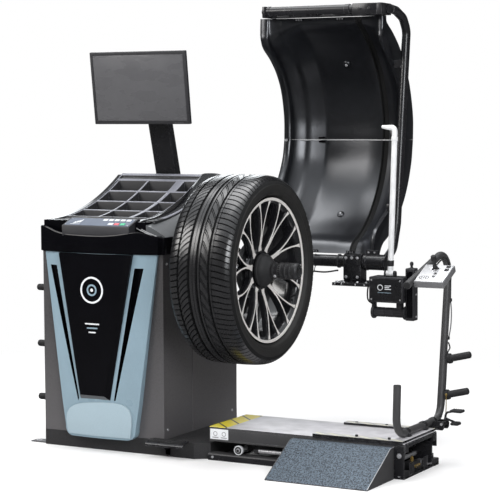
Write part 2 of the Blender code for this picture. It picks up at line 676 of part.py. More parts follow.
def inner_gauge_arm():
    y, z = INNER_GAUGE_Y, INNER_GAUGE_Z
    arm = rod("inner_gauge_arm", (0.21, y, z), (0.33, y, z), 0.0125, TUBE_STEEL)
    finger = [(y - 0.012, z - 0.012), (y + 0.012, z - 0.012), (y + 0.009, z + 0.07), (y - 0.009, z + 0.07)]
    return join(arm, plate("gauge_finger", finger, "X", 0.318, 0.331, DARK_PLASTIC))


# ---------------------------------------------------------------- hood
HOOD_AXIS = (0.0, HOOD_AXIS_Y, HOOD_AXIS_Z)


def hood_pivot_bracket():
    wall = CABINET_REAR + SHEET + GAP
    bracket = box("hood_pivot_bracket", (0.03, wall, 0.63), (0.25, wall + 0.01, 0.75), BLACK_PAINT)
    for side, low in (("left", 0.045), ("right", 0.215)):
        join(bracket, box(f"bracket_ear_{side}", (low, wall + 0.005, 0.66), (low + 0.02, 0.4, 0.74),
                          BLACK_PAINT))
    bore = rod("bracket_bore", (0.0, HOOD_AXIS_Y, HOOD_AXIS_Z), (0.3, HOOD_AXIS_Y, HOOD_AXIS_Z),
               HOOD_BAR_RADIUS + GAP, BLACK_PAINT, 24)
    return cut(bracket, bore)


def hood_pivot_bar():
    return rod("hood_pivot_bar", (0.02, HOOD_AXIS_Y, HOOD_AXIS_Z), (0.862, HOOD_AXIS_Y, HOOD_AXIS_Z),
               HOOD_BAR_RADIUS, BLACK_PAINT, 24)


def hood_sleeve(name, low, high, closed):
    """A collar that turns on the pivot bar and carries the hood's lower edge."""
    outer, bore = 0.033, HOOD_BAR_RADIUS + 2 * GAP
    if closed:
        bar_end = 0.8625
        profile = [(low, bore), (low, outer), (high, outer), (high, 0)]
        sleeve = turned(name, [(bar_end, 0), (bar_end, bore)] + profile, HOOD_AXIS, BLACK_PAINT, sides=24)
    else:
        sleeve = ring(name, low, high, outer, bore, HOOD_AXIS, BLACK_PAINT)
    lug = box(name + "_lug", (low + 0.006, 0.35, 0.728), (low + 0.056, 0.374, HOOD_BOTTOM - GAP), BLACK_PAINT)
    return join(sleeve, lug)


def hood_frame_tube():
    x = HOOD_TUBE_X
    corners = [(x, 0.3905, 0.7165), (x, 0.476, 0.768), (x, 0.573, 1.62), (x, 0.47, 1.672), (x, 0.42, 1.678)]
    return tube("hood_frame_tube", bent(corners, (0.05, 0.05, 0.03)), 0.016, BLACK_PAINT)


def hood_top_bar():
    y, z = TOP_BAR_Y, TOP_BAR_Z
    bar = rod("hood_top_bar", (0.335, y, z), (0.86, y, z), 0.019, BLACK_PAINT, 20)
    for side, low, high in (("left", 0.345, 0.372), ("right", 0.832, 0.8635)):
        join(bar, box(f"top_block_{side}", (low, y - 0.023, HOOD_TOP + GAP), (high, 0.47, z + 0.021),
                      BLACK_PAINT))
    return bar


def hood_section(rim_radius, skin_radius, low, high):
    """The hood's side outline in Y and Z: an arc at the rim, an arc at the skin, straight ends."""
    rim_arc = arc(HOOD_CENTRE, rim_radius, 64.5, -69.0, 12)
    skin_arc = arc(HOOD_CENTRE, skin_radius, rise_angle(low, skin_radius), rise_angle(high, skin_radius), 14)
    foot_y = 0.352 + rim_radius - HOOD_RIM_RADIUS
    return [(rim_arc[0][0], high)] + rim_arc + [(foot_y, low)] + skin_arc + [(skin_arc[-1][0], high)]


def rise_angle(height, radius):
    """The angle, in degrees, at which a hood arc reaches a height, or its steepest end."""
    return math.degrees(math.asin(max(-0.95, min(0.9, (height - HOOD_CENTRE[1]) / radius))))


def hood_shell(name, drop_low, drop_high):
    """Half of the hood: skin, two cheeks and the flange round the rim."""
    t, flange = MOULDING, 0.033
    shell = plate(name, hood_section(HOOD_RIM_RADIUS, HOOD_SKIN_RADIUS, HOOD_BOTTOM, HOOD_TOP), "X",
                  HOOD_LEFT, HOOD_RIGHT, HOOD_PLASTIC)
    room = plate(name + "_room", hood_section(HOOD_RIM_RADIUS + t, HOOD_SKIN_RADIUS - t, HOOD_BOTTOM + t,
                                              HOOD_TOP - t), "X", HOOD_LEFT + t, HOOD_RIGHT - t, HOOD_PLASTIC)
    mouth_section = hood_section(HOOD_RIM_RADIUS - 0.05, HOOD_RIM_RADIUS + 0.03, HOOD_BOTTOM + t, HOOD_TOP - t)
    mouth = plate(name + "_mouth", mouth_section, "X", HOOD_LEFT + flange, HOOD_RIGHT - flange, HOOD_PLASTIC)
    rest = box(name + "_rest", (0.2, 0.0, drop_low), (1.0, 1.0, drop_high), HOOD_PLASTIC)
    return cut(shell, room, mouth, rest)


# ---------------------------------------------------------------- outer gauge
def gauge_clamp_block():
    block = box("gauge_clamp_block", (0.72, 0.333, 0.62), (0.795, 0.387, 0.73), BLACK_PAINT)
    join(block, box("gauge_mount_plate", (0.7, 0.27, 0.612), (0.866, 0.4, 0.6245), BLACK_PAINT))
    bore = rod("clamp_bore", (0.7, HOOD_AXIS_Y, HOOD_AXIS_Z), (0.81, HOOD_AXIS_Y, HOOD_AXIS_Z),
               HOOD_BAR_RADIUS + GAP, BLACK_PAINT, 24)
    return cut(block, bore)


def gauge_box():
    x, y, z = GAUGE_PIVOT
    case = box("gauge_box", (0.8665, 0.25, 0.557), (1.008, 0.33, 0.655), DARK_PLASTIC)
    room = box("gauge_box_room", (0.8695, 0.253, 0.56), (1.005, 0.34, 0.652), DARK_PLASTIC)
    cut(case, room)
    for side, low in (("left", x - 0.023), ("right", x + 0.015)):
        join(case, box(f"gauge_ear_{side}", (low, y - 0.01, 0.653), (low + 0.008, y + 0.01, z + 0.01),
                       DARK_PLASTIC))
    return case


def gauge_column():
    column = box("gauge_column", (1.0085, 0.27, 0.49), (1.045, 0.31, 0.69), DARK_PLASTIC, 0.003)
    knob = rod("column_knob", (1.027, 0.29, 0.68), (1.027, 0.29, 0.715), 0.005, DARK_PLASTIC, 12)
    return join(column, knob)


def gauge_guide_bar():
    y, z = 0.29, 0.517
    bar = rod("gauge_guide_bar", (0.87, y, z), (1.003, y, z), 0.0185, DARK_PLASTIC, 20)
    for side, low in (("left", 0.8665), ("right", 0.998)):
        join(bar, rod(f"guide_end_{side}", (low, y, z), (low + 0.01, y, z), 0.026, DARK_PLASTIC, 20))
    return join(bar, box("guide_hanger", (0.8675, y - 0.016, z), (0.8755, y + 0.016, 0.557 - GAP),
                         DARK_PLASTIC))


def outer_gauge_arm():
    """A bright tube on a cross pin, with a short feeler at its tip that points to the wheel."""
    x, y, z = GAUGE_PIVOT
    path = bent([(x, y, z), (0.967, 0.266, 1.221), (0.915, 0.266, 1.225)], (0.015,), 3)
    arm = tube("outer_gauge_arm", path, 0.011, TUBE_STEEL)
    return join(arm, rod("gauge_pin", (x - 0.0145, y, z), (x + 0.0145, y, z), 0.0112, TUBE_STEEL))


# ---------------------------------------------------------------- wheel lift
SCISSOR_LEFT = SCISSOR_RIGHT - SCISSOR_SPAN
SCISSOR_MIDDLE = (SCISSOR_RIGHT - SCISSOR_SPAN / 2, (SCISSOR_LOW + SCISSOR_HIGH) / 2)


def lift_base():
    """The floor frame: two rails that the rollers run along, and two cross plates."""
    front, rear = LIFT_FRONT, 0.049
    base = box("lift_base", (0.45, front, 0), (1.24, front + 0.045, RAIL_TOP), BLACK_PAINT)
    join(base, box("rear_rail", (0.45, rear - 0.045, 0), (1.24, rear, RAIL_TOP), BLACK_PAINT))
    for name, low, high in (("left", 0.45, 0.52), ("middle", 0.82, 0.9), ("right", 1.12, 1.24)):
        join(base, box(f"cross_plate_{name}", (low, front + 0.01, 0.0), (high, rear - 0.01, 0.008),
                       BLACK_PAINT))
    for name, low in (("front", -0.2325), ("rear", 0.0025)):
        cheek = plate(f"pivot_cheek_{name}", [(1.145, 0.004), (1.195, 0.004), (1.185, 0.062), (1.155, 0.062)],
                      "Y", low, low + 0.01, BLACK_PAINT)
        join(base, cheek)
    bore = rod("base_pivot_bore", (SCISSOR_RIGHT, -0.25, SCISSOR_LOW), (SCISSOR_RIGHT, 0.03, SCISSOR_LOW),
               0.0083, BLACK_PAINT, 20)
    return cut(base, bore)


def lift_ramp():
    """The drive-on ramp: a grit-faced slope on two cheeks, open underneath."""
    side = [(-0.494, 0), (-0.2705, 0), (-0.2705, 0.113), (-0.299, 0.113), (-0.494, 0.004)]
    ramp = plate("lift_ramp", side, "X", 0.809, 1.203, RAMP_GRIT)
    under = [(-0.482, -0.01), (-0.26, -0.01), (-0.26, 0.109), (-0.3, 0.109)]
    return cut(ramp, plate("ramp_under", under, "X", 0.812, 1.2, RAMP_GRIT))


def arm_bar(name, low_end, high_end, y):
    """A flat scissor bar between two pivots, 10 mm thick from y on."""
    start, end = Vector(low_end), Vector(high_end)
    along = (end - start).normalized()
    across = Vector((-along.y, along.x)) * 0.01
    tip = along * 0.012
    outline = [start - tip - across, end + tip - across, end + tip + across, start - tip + across]
    return plate(name, [tuple(point) for point in outline], "Y", y, y + 0.01, BLACK_PAINT)


def cross_rod(name, x, z, low, high, radius=0.008):
    return rod(name, (x, low, z), (x, high, z), radius, STEEL)


def scissor_outer():
    """The outer pair of bars, hinged to the base at its right end."""
    low_end, high_end = (SCISSOR_RIGHT, SCISSOR_LOW), (SCISSOR_LEFT, SCISSOR_HIGH)
    outer = arm_bar("scissor_outer", low_end, high_end, -0.2165)
    join(outer, arm_bar("outer_bar_rear", low_end, high_end, -0.0135),
         cross_rod("base_axle", *low_end, -0.236, 0.0165), cross_rod("track_rod", *high_end, -0.2125, -0.0075))
    for side, low in (("front", -0.21), ("rear", -0.03)):
        join(outer, cross_rod(f"middle_pin_{side}", *SCISSOR_MIDDLE, low, low + 0.02, 0.006))
    return outer


def scissor_inner():
    """The inner pair of bars: rollers on the base at the left, hinged to the platform at the right."""
    low_end, high_end = (SCISSOR_LEFT, SCISSOR_LOW), (SCISSOR_RIGHT, SCISSOR_HIGH)
    inner = arm_bar("scissor_inner", low_end, high_end, -0.2)
    join(inner, arm_bar("inner_bar_rear", low_end, high_end, -0.03),
         cross_rod("roller_axle", *low_end, -0.264, -0.025),
         cross_rod("platform_axle", *high_end, -0.195, -0.025))
    bore = cross_rod("middle_bore", *SCISSOR_MIDDLE, -0.25, 0.02, 0.0063)
    return cut(inner, bore)


def scissor_roller():
    centre = (SCISSOR_LEFT, 0, SCISSOR_LOW)
    return ring("scissor_roller", -0.262, -0.25, ROLLER_RADIUS, 0.0083, centre, PANEL_SILVER, axis="Y")


def lift_cylinder():
    """The air cylinder that lies beside the scissor, with its bright rod to the left."""
    y, z = -0.243, 0.046
    barrel = rod("lift_cylinder", (0.8, y, z), (1.1, y, z), 0.017, BLACK_PAINT)
    return join(barrel, rod("cylinder_rod", (0.635, y, z), (0.81, y, z), 0.007, STEEL, 12))


def lift_platform():
    """A pan upside down: deck and skirts, with two cheeks for the upper scissor pivot."""
    left, right, front, rear = LIFT_LEFT, LIFT_RIGHT, LIFT_FRONT, LIFT_REAR
    platform = box("lift_platform", (left, front, SKIRT_BOTTOM), (right, rear, LIFT_TOP), PLATE)
    under = box("platform_room", (left + SHEET, front + SHEET, 0.0),
                (right + 0.01, rear - SHEET, LIFT_TOP - 0.005), PLATE)
    cut(platform, under)
    for name, low in (("front", -0.187), ("rear", -0.045)):
        join(platform, box(f"platform_cheek_{name}", (1.155, low, SKIRT_BOTTOM),
                           (1.185, low + 0.01, LIFT_TOP - 0.004), PLATE))
    return cut(platform, cross_rod("platform_bore", SCISSOR_RIGHT, SCISSOR_HIGH, -0.2, -0.02, 0.0083))


def lift_table():
    """The rolling carriage: two striped side lips joined by a cross member under the handle."""
    low, high = LIFT_TOP + 0.0005, LIFT_TOP + 0.009
    table = box("lift_table", (0.885, -0.272, low), (1.236, -0.235, high), PLATE)
    join(table, box("table_front_lip", (0.885, -0.272, LIFT_TOP - 0.006), (1.236, -0.2678, high), PLATE),
         box("table_rear_lip", (0.885, -0.012, low), (1.236, 0.024, high), PLATE),
         box("table_cross", (1.17, -0.25, low), (1.236, 0.01, high), PLATE))
    x, y, z = FOOT_LEVER_PIVOT
    for side, face in (("front", y - 0.0263), ("rear", y + 0.0203)):
        join(table, box(f"lever_bracket_{side}", (HANDLE_X + HANDLE_RADIUS + 0.0015, face, low + 0.0005),
                        (x + 0.01, face + 0.006, z + 0.01), PLATE))
    join(table, box("lever_bracket_foot", (1.19, 0.01, low), (1.235, y + 0.0258, high - 0.001), PLATE))
    return cut(table, rod("lever_bore", (x, y - 0.04, z), (x, y + 0.04, z), LEVER_PIN_RADIUS + GAP, PLATE, 16))


def lift_handle_tube():
    x, floor = HANDLE_X, LIFT_TOP + 0.009 + GAP + HANDLE_RADIUS
    corners = [(x, -0.247, 0.328), (x, -0.256, floor), (x, 0.142, floor), (x, 0.232, 0.785),
               (x, -0.165, 0.672)]
    return tube("lift_handle_tube", bent(corners, (0.06, 0.06, 0.075)), HANDLE_RADIUS, BLACK_PAINT)


def control_box():
    half = Vector((0.0565, 0.062, 0.0125))
    bm = bmesh.new()
    bmesh.ops.create_cube(bm, size=2.0, matrix=Matrix.Diagonal((*half, 1)))
    case = add_object("control_box", mesh_from(bm, "control_box"), PANEL_SILVER)
    case.location = CONTROL_CENTRE
    case.rotation_euler.x = CONTROL_TILT
    bpy.context.view_layer.update()
    socket = rod("joystick_socket", joystick_point(-0.005), joystick_point(0.03), 0.013, PANEL_SILVER, 20)
    return cut(case, socket)


def joystick_point(height):
    """A point on the joystick's line, at a height above the middle of the control box."""
    slope = Vector((0, math.cos(CONTROL_TILT), math.sin(CONTROL_TILT)))
    normal = Vector((0, -slope.z, slope.y))
    return Vector(CONTROL_CENTRE) + Vector((-0.006, 0, 0)) + slope * 0.03 + normal * height


def joystick_gimbal():
    """The short cross axle that the joystick rocks on."""
    centre, half = joystick_point(JOYSTICK_PIVOT), Vector((0.008, 0, 0))
    return rod("joystick_gimbal", centre - half, centre + half, 0.004, STEEL, 12)


def joystick():
    low = JOYSTICK_PIVOT + 0.0068
    stick = rod("joystick", joystick_point(low), joystick_point(0.058), 0.005, RUBBER, 16, 0.0045)
    boot = rod("joystick_boot", joystick_point(0.0165), joystick_point(0.026), 0.009, RUBBER, 16, 0.006)
    knob = rod("joystick_knob", joystick_point(0.05), joystick_point(0.062), 0.0075, RUBBER, 16)
    return join(stick, boot, knob)


def post_peg(name, y, height):
    """A rubber peg on the handle's post, tilted up a little so that what hangs on it stays on."""
    root = Vector((HANDLE_X + HANDLE_RADIUS + 0.0048, y, height))
    tip = root + Vector((0.088, 0, 0.021))
    collar = root + Vector((0.012, 0, 0.003))
    return join(rod(name, root, tip, 0.013, RUBBER), rod(name + "_collar", root, collar, 0.019, RUBBER))


def foot_lever():
    """Two pads on one bent arm at the outer end of the carriage."""
    x, y, z = FOOT_LEVER_PIVOT
    upper = bent([(x, y, z), (x + 0.008, y, z + 0.04), (x + 0.05, y, z + 0.05)], (0.012,), 3)
    arm = tube("foot_lever", upper, 0.004, BLACK_PAINT, 8)
    lower = tube("lower_arm", [(x + 0.004, y, z + 0.02), (x + 0.05, y, z + 0.004)], 0.004, BLACK_PAINT, 8)
    hub = rod("lever_hub", (x, y - 0.02, z), (x, y + 0.02, z), 0.008, BLACK_PAINT, 12)
    pin = rod("lever_pin", (x, y - 0.03, z), (x, y + 0.03, z), LEVER_PIN_RADIUS, BLACK_PAINT, 16)
    join(arm, lower, hub, pin)
    pads = (("upper", (0.028, 0.044), (0.074, 0.054)), ("lower", (0.03, -0.003), (0.06, 0.008)))
    for side, low, high in pads:
        join(arm, box(f"lever_pad_{side}", (x + low[0], y - 0.018, z + low[1]),
                      (x + high[0], y + 0.018, z + high[1]), RUBBER, 0.003))
    return arm


# ---------------------------------------------------------------- assembly
def build():
    base_plinth(), cabinet_shell(), rear_panel(), front_trim(), front_centre_panel()
    console_cover(), weight_tray(), keypad_panel(), monitor_post()
    for name, height in (("side_peg_top", 0.613), ("side_peg_middle", 0.392), ("side_peg_low", 0.181)):
        side_peg(name, height)
    pivot("monitor_tilt", (POST_LEFT, *MONITOR_PIVOT), monitor_housing(), monitor_screen())

    spindle_housing(), bearing("bearing_front", 0.325), bearing("bearing_rear", 0.03)
    housing_pedestal(), drive_motor(), drive_belt()
    pivot("spindle_spin", SPINDLE, spindle_shaft(), spindle_pulley(), backing_flange(),
          wheel_rim(), wheel_tyre(), pressure_cup())
    pivot("quick_nut_slide", (0.65, SPINDLE_Y, SPINDLE_Z), quick_nut())
    pivot("motor_spin", (0, MOTOR_Y, MOTOR_Z), motor_pulley())
    pivot("brake_pedal_press", (0.285, *PEDAL_PIVOT), brake_pedal())
    pivot("brake_lever_swing", (-0.005, *BRAKE_PIVOT), brake_lever())
    pivot("inner_gauge_slide", (0.285, INNER_GAUGE_Y, INNER_GAUGE_Z), inner_gauge_slider())
    pivot("inner_gauge_swing", (0.33, INNER_GAUGE_Y, INNER_GAUGE_Z), inner_gauge_arm())

    hood_pivot_bracket(), hood_pivot_bar()
    pivot("hood_swing", HOOD_AXIS, hood_sleeve("hood_sleeve_left", 0.345, 0.415, False),
          hood_sleeve("hood_sleeve_right", 0.801, 0.897, True), hood_frame_tube(), hood_top_bar(),
          hood_shell("hood_shell_upper", 0.5, HOOD_SEAM + GAP),
          hood_shell("hood_shell_lower", HOOD_SEAM - GAP, 2.0))

    gauge_clamp_block(), gauge_box(), gauge_column(), gauge_guide_bar()
    pivot("outer_gauge_swing", GAUGE_PIVOT, outer_gauge_arm())

    lift_base(), lift_ramp(), lift_cylinder()
    pivot("scissor_lift", (SCISSOR_RIGHT, 0, SCISSOR_LOW), scissor_outer())
    pivot("scissor_cross", (SCISSOR_MIDDLE[0], 0, SCISSOR_MIDDLE[1]), scissor_inner())
    pivot("roller_spin", (SCISSOR_LEFT, 0, SCISSOR_LOW), scissor_roller())
    pivot("platform_level", (SCISSOR_RIGHT, 0, SCISSOR_HIGH), lift_platform())
    pivot("table_slide", (HANDLE_X, 0, LIFT_TOP), lift_table(), lift_handle_tube(), control_box(),
          post_peg("post_peg_upper", 0.178, 0.37), post_peg("post_peg_lower", 0.158, 0.238))
    pivot("joystick_roll", joystick_point(JOYSTICK_PIVOT), joystick_gimbal())
    pivot("joystick_pitch", joystick_point(JOYSTICK_PIVOT), joystick())
    pivot("foot_lever_press", FOOT_LEVER_PIVOT, foot_lever())


build()
bpy.context.view_layer.update()
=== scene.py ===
"""Looks of a car wheel balancer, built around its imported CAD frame."""
import json
import math

import bmesh
import bpy
from mathutils import Matrix, Quaternion, Vector


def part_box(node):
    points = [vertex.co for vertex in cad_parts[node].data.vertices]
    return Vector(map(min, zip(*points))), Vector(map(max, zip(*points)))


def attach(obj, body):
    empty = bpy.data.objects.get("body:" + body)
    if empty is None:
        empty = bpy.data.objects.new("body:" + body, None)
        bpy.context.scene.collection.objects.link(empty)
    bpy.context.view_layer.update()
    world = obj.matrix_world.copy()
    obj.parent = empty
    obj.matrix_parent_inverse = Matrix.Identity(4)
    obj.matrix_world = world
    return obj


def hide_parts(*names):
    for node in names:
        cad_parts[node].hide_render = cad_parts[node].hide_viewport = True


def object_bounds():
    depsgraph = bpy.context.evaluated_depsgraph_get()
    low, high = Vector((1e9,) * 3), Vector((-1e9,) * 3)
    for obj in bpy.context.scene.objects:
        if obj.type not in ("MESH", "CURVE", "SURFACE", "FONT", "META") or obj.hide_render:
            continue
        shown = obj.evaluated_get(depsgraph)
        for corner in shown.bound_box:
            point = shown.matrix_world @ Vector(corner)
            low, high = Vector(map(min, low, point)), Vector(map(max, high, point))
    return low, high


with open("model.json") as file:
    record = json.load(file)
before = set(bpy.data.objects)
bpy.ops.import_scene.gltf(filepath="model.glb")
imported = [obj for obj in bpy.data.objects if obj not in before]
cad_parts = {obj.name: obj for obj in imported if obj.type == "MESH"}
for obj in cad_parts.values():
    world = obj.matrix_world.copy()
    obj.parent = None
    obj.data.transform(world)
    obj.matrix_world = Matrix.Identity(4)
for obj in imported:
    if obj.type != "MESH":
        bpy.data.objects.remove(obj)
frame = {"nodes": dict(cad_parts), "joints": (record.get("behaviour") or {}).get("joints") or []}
CAD_BOX = [list(corner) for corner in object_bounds()]
JOINTS = {joint["name"]: joint for joint in frame["joints"]}
AXES = {"X": Vector((1, 0, 0)), "Y": Vector((0, 1, 0)), "Z": Vector((0, 0, 1))}
UP = AXES["Z"]


# ---------------------------------------------------------------- materials
class Graph:
    """A material and the node graph that makes its surface."""

    def __init__(self, name):
        self.material = bpy.data.materials.new(name)
        self.material.use_nodes = True
        self.tree = self.material.node_tree
        self.shader = self.tree.nodes["Principled BSDF"]
        self.place = self.add("TexCoord").outputs["Object"]

    def add(self, kind, inputs=None, **settings):
        """A node whose inputs are given by name or number, as values or as another node's output."""
        node = self.tree.nodes.new("ShaderNode" + kind)
        for key, value in settings.items():
            setattr(node, key, value)
        for key, value in (inputs or {}).items():
            self.put(node.inputs[key], value)
        return node

    def put(self, socket, value):
        if isinstance(value, bpy.types.NodeSocket):
            self.tree.links.new(value, socket)
        elif isinstance(value, tuple) and len(value) == 3 and socket.type == "RGBA":
            socket.default_value = (*value, 1.0)
        else:
            socket.default_value = value

    def noise(self, scale, detail=2.0, stretch=None):
        place = self.place
        if stretch:
            place = self.add("Mapping", {"Vector": place, "Scale": stretch}).outputs[0]
        return self.add("TexNoise", {"Vector": place, "Scale": scale, "Detail": detail}).outputs["Fac"]

    def math(self, operation, a, b=0.0, clamp=False):
        return self.add("Math", {0: a, 1: b}, operation=operation, use_clamp=clamp).outputs[0]

    def ramp(self, value, low, high, to_low=0.0, to_high=1.0):
        node = self.add("MapRange", {"Value": value, "From Min": low, "From Max": high,
                                     "To Min": to_low, "To Max": to_high})
        return node.outputs[0]

    def mix(self, factor, a, b):
        return self.add("Mix", {0: factor, 6: a, 7: b}, data_type="RGBA").outputs[2]

    def bump(self, height, strength, distance, below=None):
        inputs = {"Height": height, "Strength": strength, "Distance": distance}
        if below:
            inputs["Normal"] = below
        return self.add("Bump", inputs).outputs[0]

    def edges(self, amount=1.0):
        """How close a point is to a sharp edge, from 0 to the amount."""
        softened = self.add("Bevel", {"Radius": 0.0025}, samples=4).outputs[0]
        flat = self.add("NewGeometry").outputs["Normal"]
        match = self.add("VectorMath", {0: softened, 1: flat}, operation="DOT_PRODUCT").outputs["Value"]
        return self.ramp(match, 0.985, 0.85, 0.0, amount)

    def finish(self, **inputs):
        for key, value in inputs.items():
            self.put(self.shader.inputs[key.replace("_", " ")], value)
        return self.material


def shade(colour, factor):
    return tuple(min(1.0, channel * factor) for channel in colour)


def coated(name, colour, roughness, grain=500.0, depth=0.25, distance=0.0004, patchy=0.25, coat=0.0,
           metallic=0.0, worn=None, spread=0.12, specular=0.5):
    """Paint or moulded plastic: fine surface grain, slow changes of tone and shine, paler worn edges."""
    g = Graph(name)
    slow = g.noise(6.0, 3.0)
    fine = g.noise(grain, 3.0)
    tone = g.mix(g.ramp(slow, 0.3, 0.7), shade(colour, 1 - patchy), shade(colour, 1 + patchy))
    tone = g.mix(g.ramp(fine, 0.35, 0.75, 0.0, 0.35), tone, shade(colour, 1.8))
    if worn:
        scuffed = g.math("MULTIPLY", g.edges(0.7), g.ramp(g.noise(60.0, 4.0), 0.4, 0.6))
        tone = g.mix(scuffed, tone, worn)
    shine = g.ramp(g.noise(14.0, 4.0), 0.3, 0.7, roughness - spread / 2, roughness + spread / 2)
    return g.finish(Base_Color=tone, Roughness=shine, Metallic=metallic, Coat_Weight=coat, Coat_Roughness=0.08,
                    Specular_IOR_Level=specular, Normal=g.bump(fine, depth, distance))


def hammered(name, colour, painted_bounce=0.0):
    """Hammered enamel: shallow rounded dimples with paler crests, and a painted glow of light bounced up from the
    floor, growing towards the floor.
    """
    g = Graph(name)
    warp = g.add("Mix", {0: 0.02, 4: g.place, 5: g.add("TexNoise", {"Vector": g.place, "Scale": 90.0}).outputs[1]},
                 data_type="VECTOR").outputs[1]
    cells = g.add("TexVoronoi", {"Vector": warp, "Scale": 260.0, "Smoothness": 0.7},
                  feature="SMOOTH_F1").outputs["Distance"]
    fine = g.noise(900.0, 2.0)
    tone = g.mix(g.ramp(cells, 0.1, 0.75), shade(colour, 1.3), shade(colour, 0.78))
    tone = g.mix(g.ramp(g.noise(3.0, 3.0), 0.3, 0.7, 0.0, 0.3), tone, shade(colour, 1.25))
    height = g.add("SeparateXYZ", {0: g.place}).outputs[2]
    # Painted bounce light: the colour grows paler towards the floor, by the given strength.
    tone = g.mix(g.ramp(height, 0.5, 0.08, 0.0, painted_bounce), tone, shade(colour, 2.0))
    normal = g.bump(cells, 0.3, 0.0007, g.bump(fine, 0.1, 0.0002))
    return g.finish(Base_Color=tone, Roughness=g.ramp(cells, 0.0, 0.8, 0.32, 0.5), Metallic=0.25,
                    Specular_IOR_Level=0.6, Normal=normal)


def metal(name, colour, roughness, stretch, scale=60.0, scratch=0.15, metallic=0.9):
    """Bare metal with fine lines along one direction and a few darker stains."""
    g = Graph(name)
    lines = g.noise(scale, 6.0, stretch)
    stains = g.noise(18.0, 4.0)
    tone = g.mix(g.ramp(stains, 0.35, 0.7), colour, shade(colour, 0.72))
    tone = g.mix(g.ramp(lines, 0.3, 0.7, 0.0, 0.4), tone, shade(colour, 1.25))
    shine = g.ramp(lines, 0.3, 0.7, roughness - 0.06, roughness + 0.1)
    return g.finish(Base_Color=tone, Metallic=metallic, Roughness=shine, Normal=g.bump(lines, scratch, 0.0002))


def machined(name, colour, centre, roughness=0.22, metallic=1.0):
    """Metal turned about the X axis through a centre: fine rings round it."""
    g = Graph(name)
    split = g.add("SeparateXYZ", {0: g.place})
    y = g.math("SUBTRACT", split.outputs[1], centre[1])
    z = g.math("SUBTRACT", split.outputs[2], centre[2])
    radius = g.math("SQRT", g.math("ADD", g.math("MULTIPLY", y, y), g.math("MULTIPLY", z, z)))
    line = g.add("CombineXYZ", {0: radius, 1: g.math("MULTIPLY", split.outputs[0], 0.2)}).outputs[0]
    rings = g.add("TexNoise", {"Vector": line, "Scale": 2200.0, "Detail": 3.0}).outputs["Fac"]
    tone = g.mix(g.ramp(rings, 0.3, 0.7), shade(colour, 0.8), shade(colour, 1.1))
    return g.finish(Base_Color=tone, Metallic=metallic, Roughness=g.ramp(rings, 0.2, 0.8, roughness - 0.05, roughness + 0.1),
                    Normal=g.bump(rings, 0.08, 0.0001))


def rubbery(name, colour, roughness, grain=700.0, depth=0.3, specular=0.4):
    """Rubber: matt, with fine grain and a little grey dust in places."""
    g = Graph(name)
    fine = g.noise(grain, 3.0)
    dust = g.ramp(g.noise(25.0, 5.0), 0.5, 0.8, 0.0, 0.35)
    tone = g.mix(dust, colour, shade(colour, 2.2))
    return g.finish(Base_Color=tone, Roughness=g.ramp(fine, 0.2, 0.8, roughness - 0.1, roughness + 0.08),
                    Specular_IOR_Level=specular, Normal=g.bump(fine, depth, 0.0003))


def gritty(name, colour):
    """Anti-slip coating: coarse sharp grit in a blue-grey binder, paler in broad slow patches."""
    g = Graph(name)
    grains = g.add("TexVoronoi", {"Vector": g.place, "Scale": 270.0}).outputs["Distance"]
    clumps = g.noise(170.0, 5.0)
    tone = g.mix(g.ramp(grains, 0.15, 0.6), shade(colour, 2.6), shade(colour, 0.35))
    tone = g.mix(g.ramp(clumps, 0.45, 0.58, 0.0, 0.75), tone, shade(colour, 3.4))
    tone = g.mix(g.ramp(g.noise(4.0, 3.0), 0.35, 0.7, 0.0, 0.4), tone, shade(colour, 1.6))
    normal = g.bump(clumps, 0.5, 0.0015, g.bump(grains, 0.6, 0.0012))
    return g.finish(Base_Color=tone, Roughness=g.ramp(grains, 0.1, 0.7, 0.45, 0.85), Metallic=0.15, Normal=normal)


def striped(name, light, dark, direction, width, fade, base, share=0.5):
    """Slanting two-colour stripes along a direction, worn through to a base colour in places."""
    g = Graph(name)
    along = g.add("VectorMath", {0: g.place, 1: direction}, operation="DOT_PRODUCT").outputs["Value"]
    saw = g.math("FRACT", g.math("DIVIDE", along, 2 * width))
    stripe = g.ramp(saw, share - 0.02, share + 0.02)
    tone = g.mix(stripe, light, dark)
    rub = g.ramp(g.noise(35.0, 6.0), 0.7 - fade, 0.8 - fade * 0.5)
    tone = g.mix(g.math("MULTIPLY", rub, fade, clamp=True), tone, base)
    fine = g.noise(600.0, 3.0)
    return g.finish(Base_Color=tone, Roughness=g.ramp(fine, 0.3, 0.7, 0.35, 0.55), Normal=g.bump(fine, 0.15, 0.0002))


def screen_glass(name, colour):
    """A switched-off display behind hard glass, with faint dust and wiping marks."""
    g = Graph(name)
    smear = g.noise(9.0, 5.0, (1.0, 0.4, 2.5))
    dust = g.noise(700.0, 2.0)
    tone = g.mix(g.ramp(smear, 0.35, 0.75, 0.0, 0.35), colour, shade(colour, 1.35))
    tone = g.mix(g.ramp(dust, 0.72, 0.8, 0.0, 0.5), tone, shade(colour, 2.0))
    return g.finish(Base_Color=tone, Roughness=g.ramp(smear, 0.3, 0.7, 0.22, 0.34), Specular_IOR_Level=0.5,
                    Coat_Weight=0.35, Coat_Roughness=0.15)


def moulded_shell(name, colour):
    """Vacuum-formed sheet: a soft gloss with slow waves, fine haze and scattered rub marks."""
    g = Graph(name)
    waves = g.noise(5.0, 2.0)
    haze = g.noise(45.0, 6.0)
    rubs = g.noise(70.0, 5.0, (0.25, 1.0, 1.0))
    tone = g.mix(g.ramp(haze, 0.35, 0.75), colour, shade(colour, 2.2))
    tone = g.mix(g.ramp(rubs, 0.66, 0.8, 0.0, 0.25), tone, shade(colour, 6.0))
    normal = g.bump(waves, 0.12, 0.006, g.bump(g.noise(500.0, 2.0), 0.06, 0.0002))
    return g.finish(Base_Color=tone, Roughness=g.ramp(haze, 0.3, 0.7, 0.3, 0.35), Specular_IOR_Level=0.9,
                    Coat_Weight=0.5, Coat_Roughness=0.27, Coat_Tint=(0.86, 0.9, 1.0), Normal=normal)


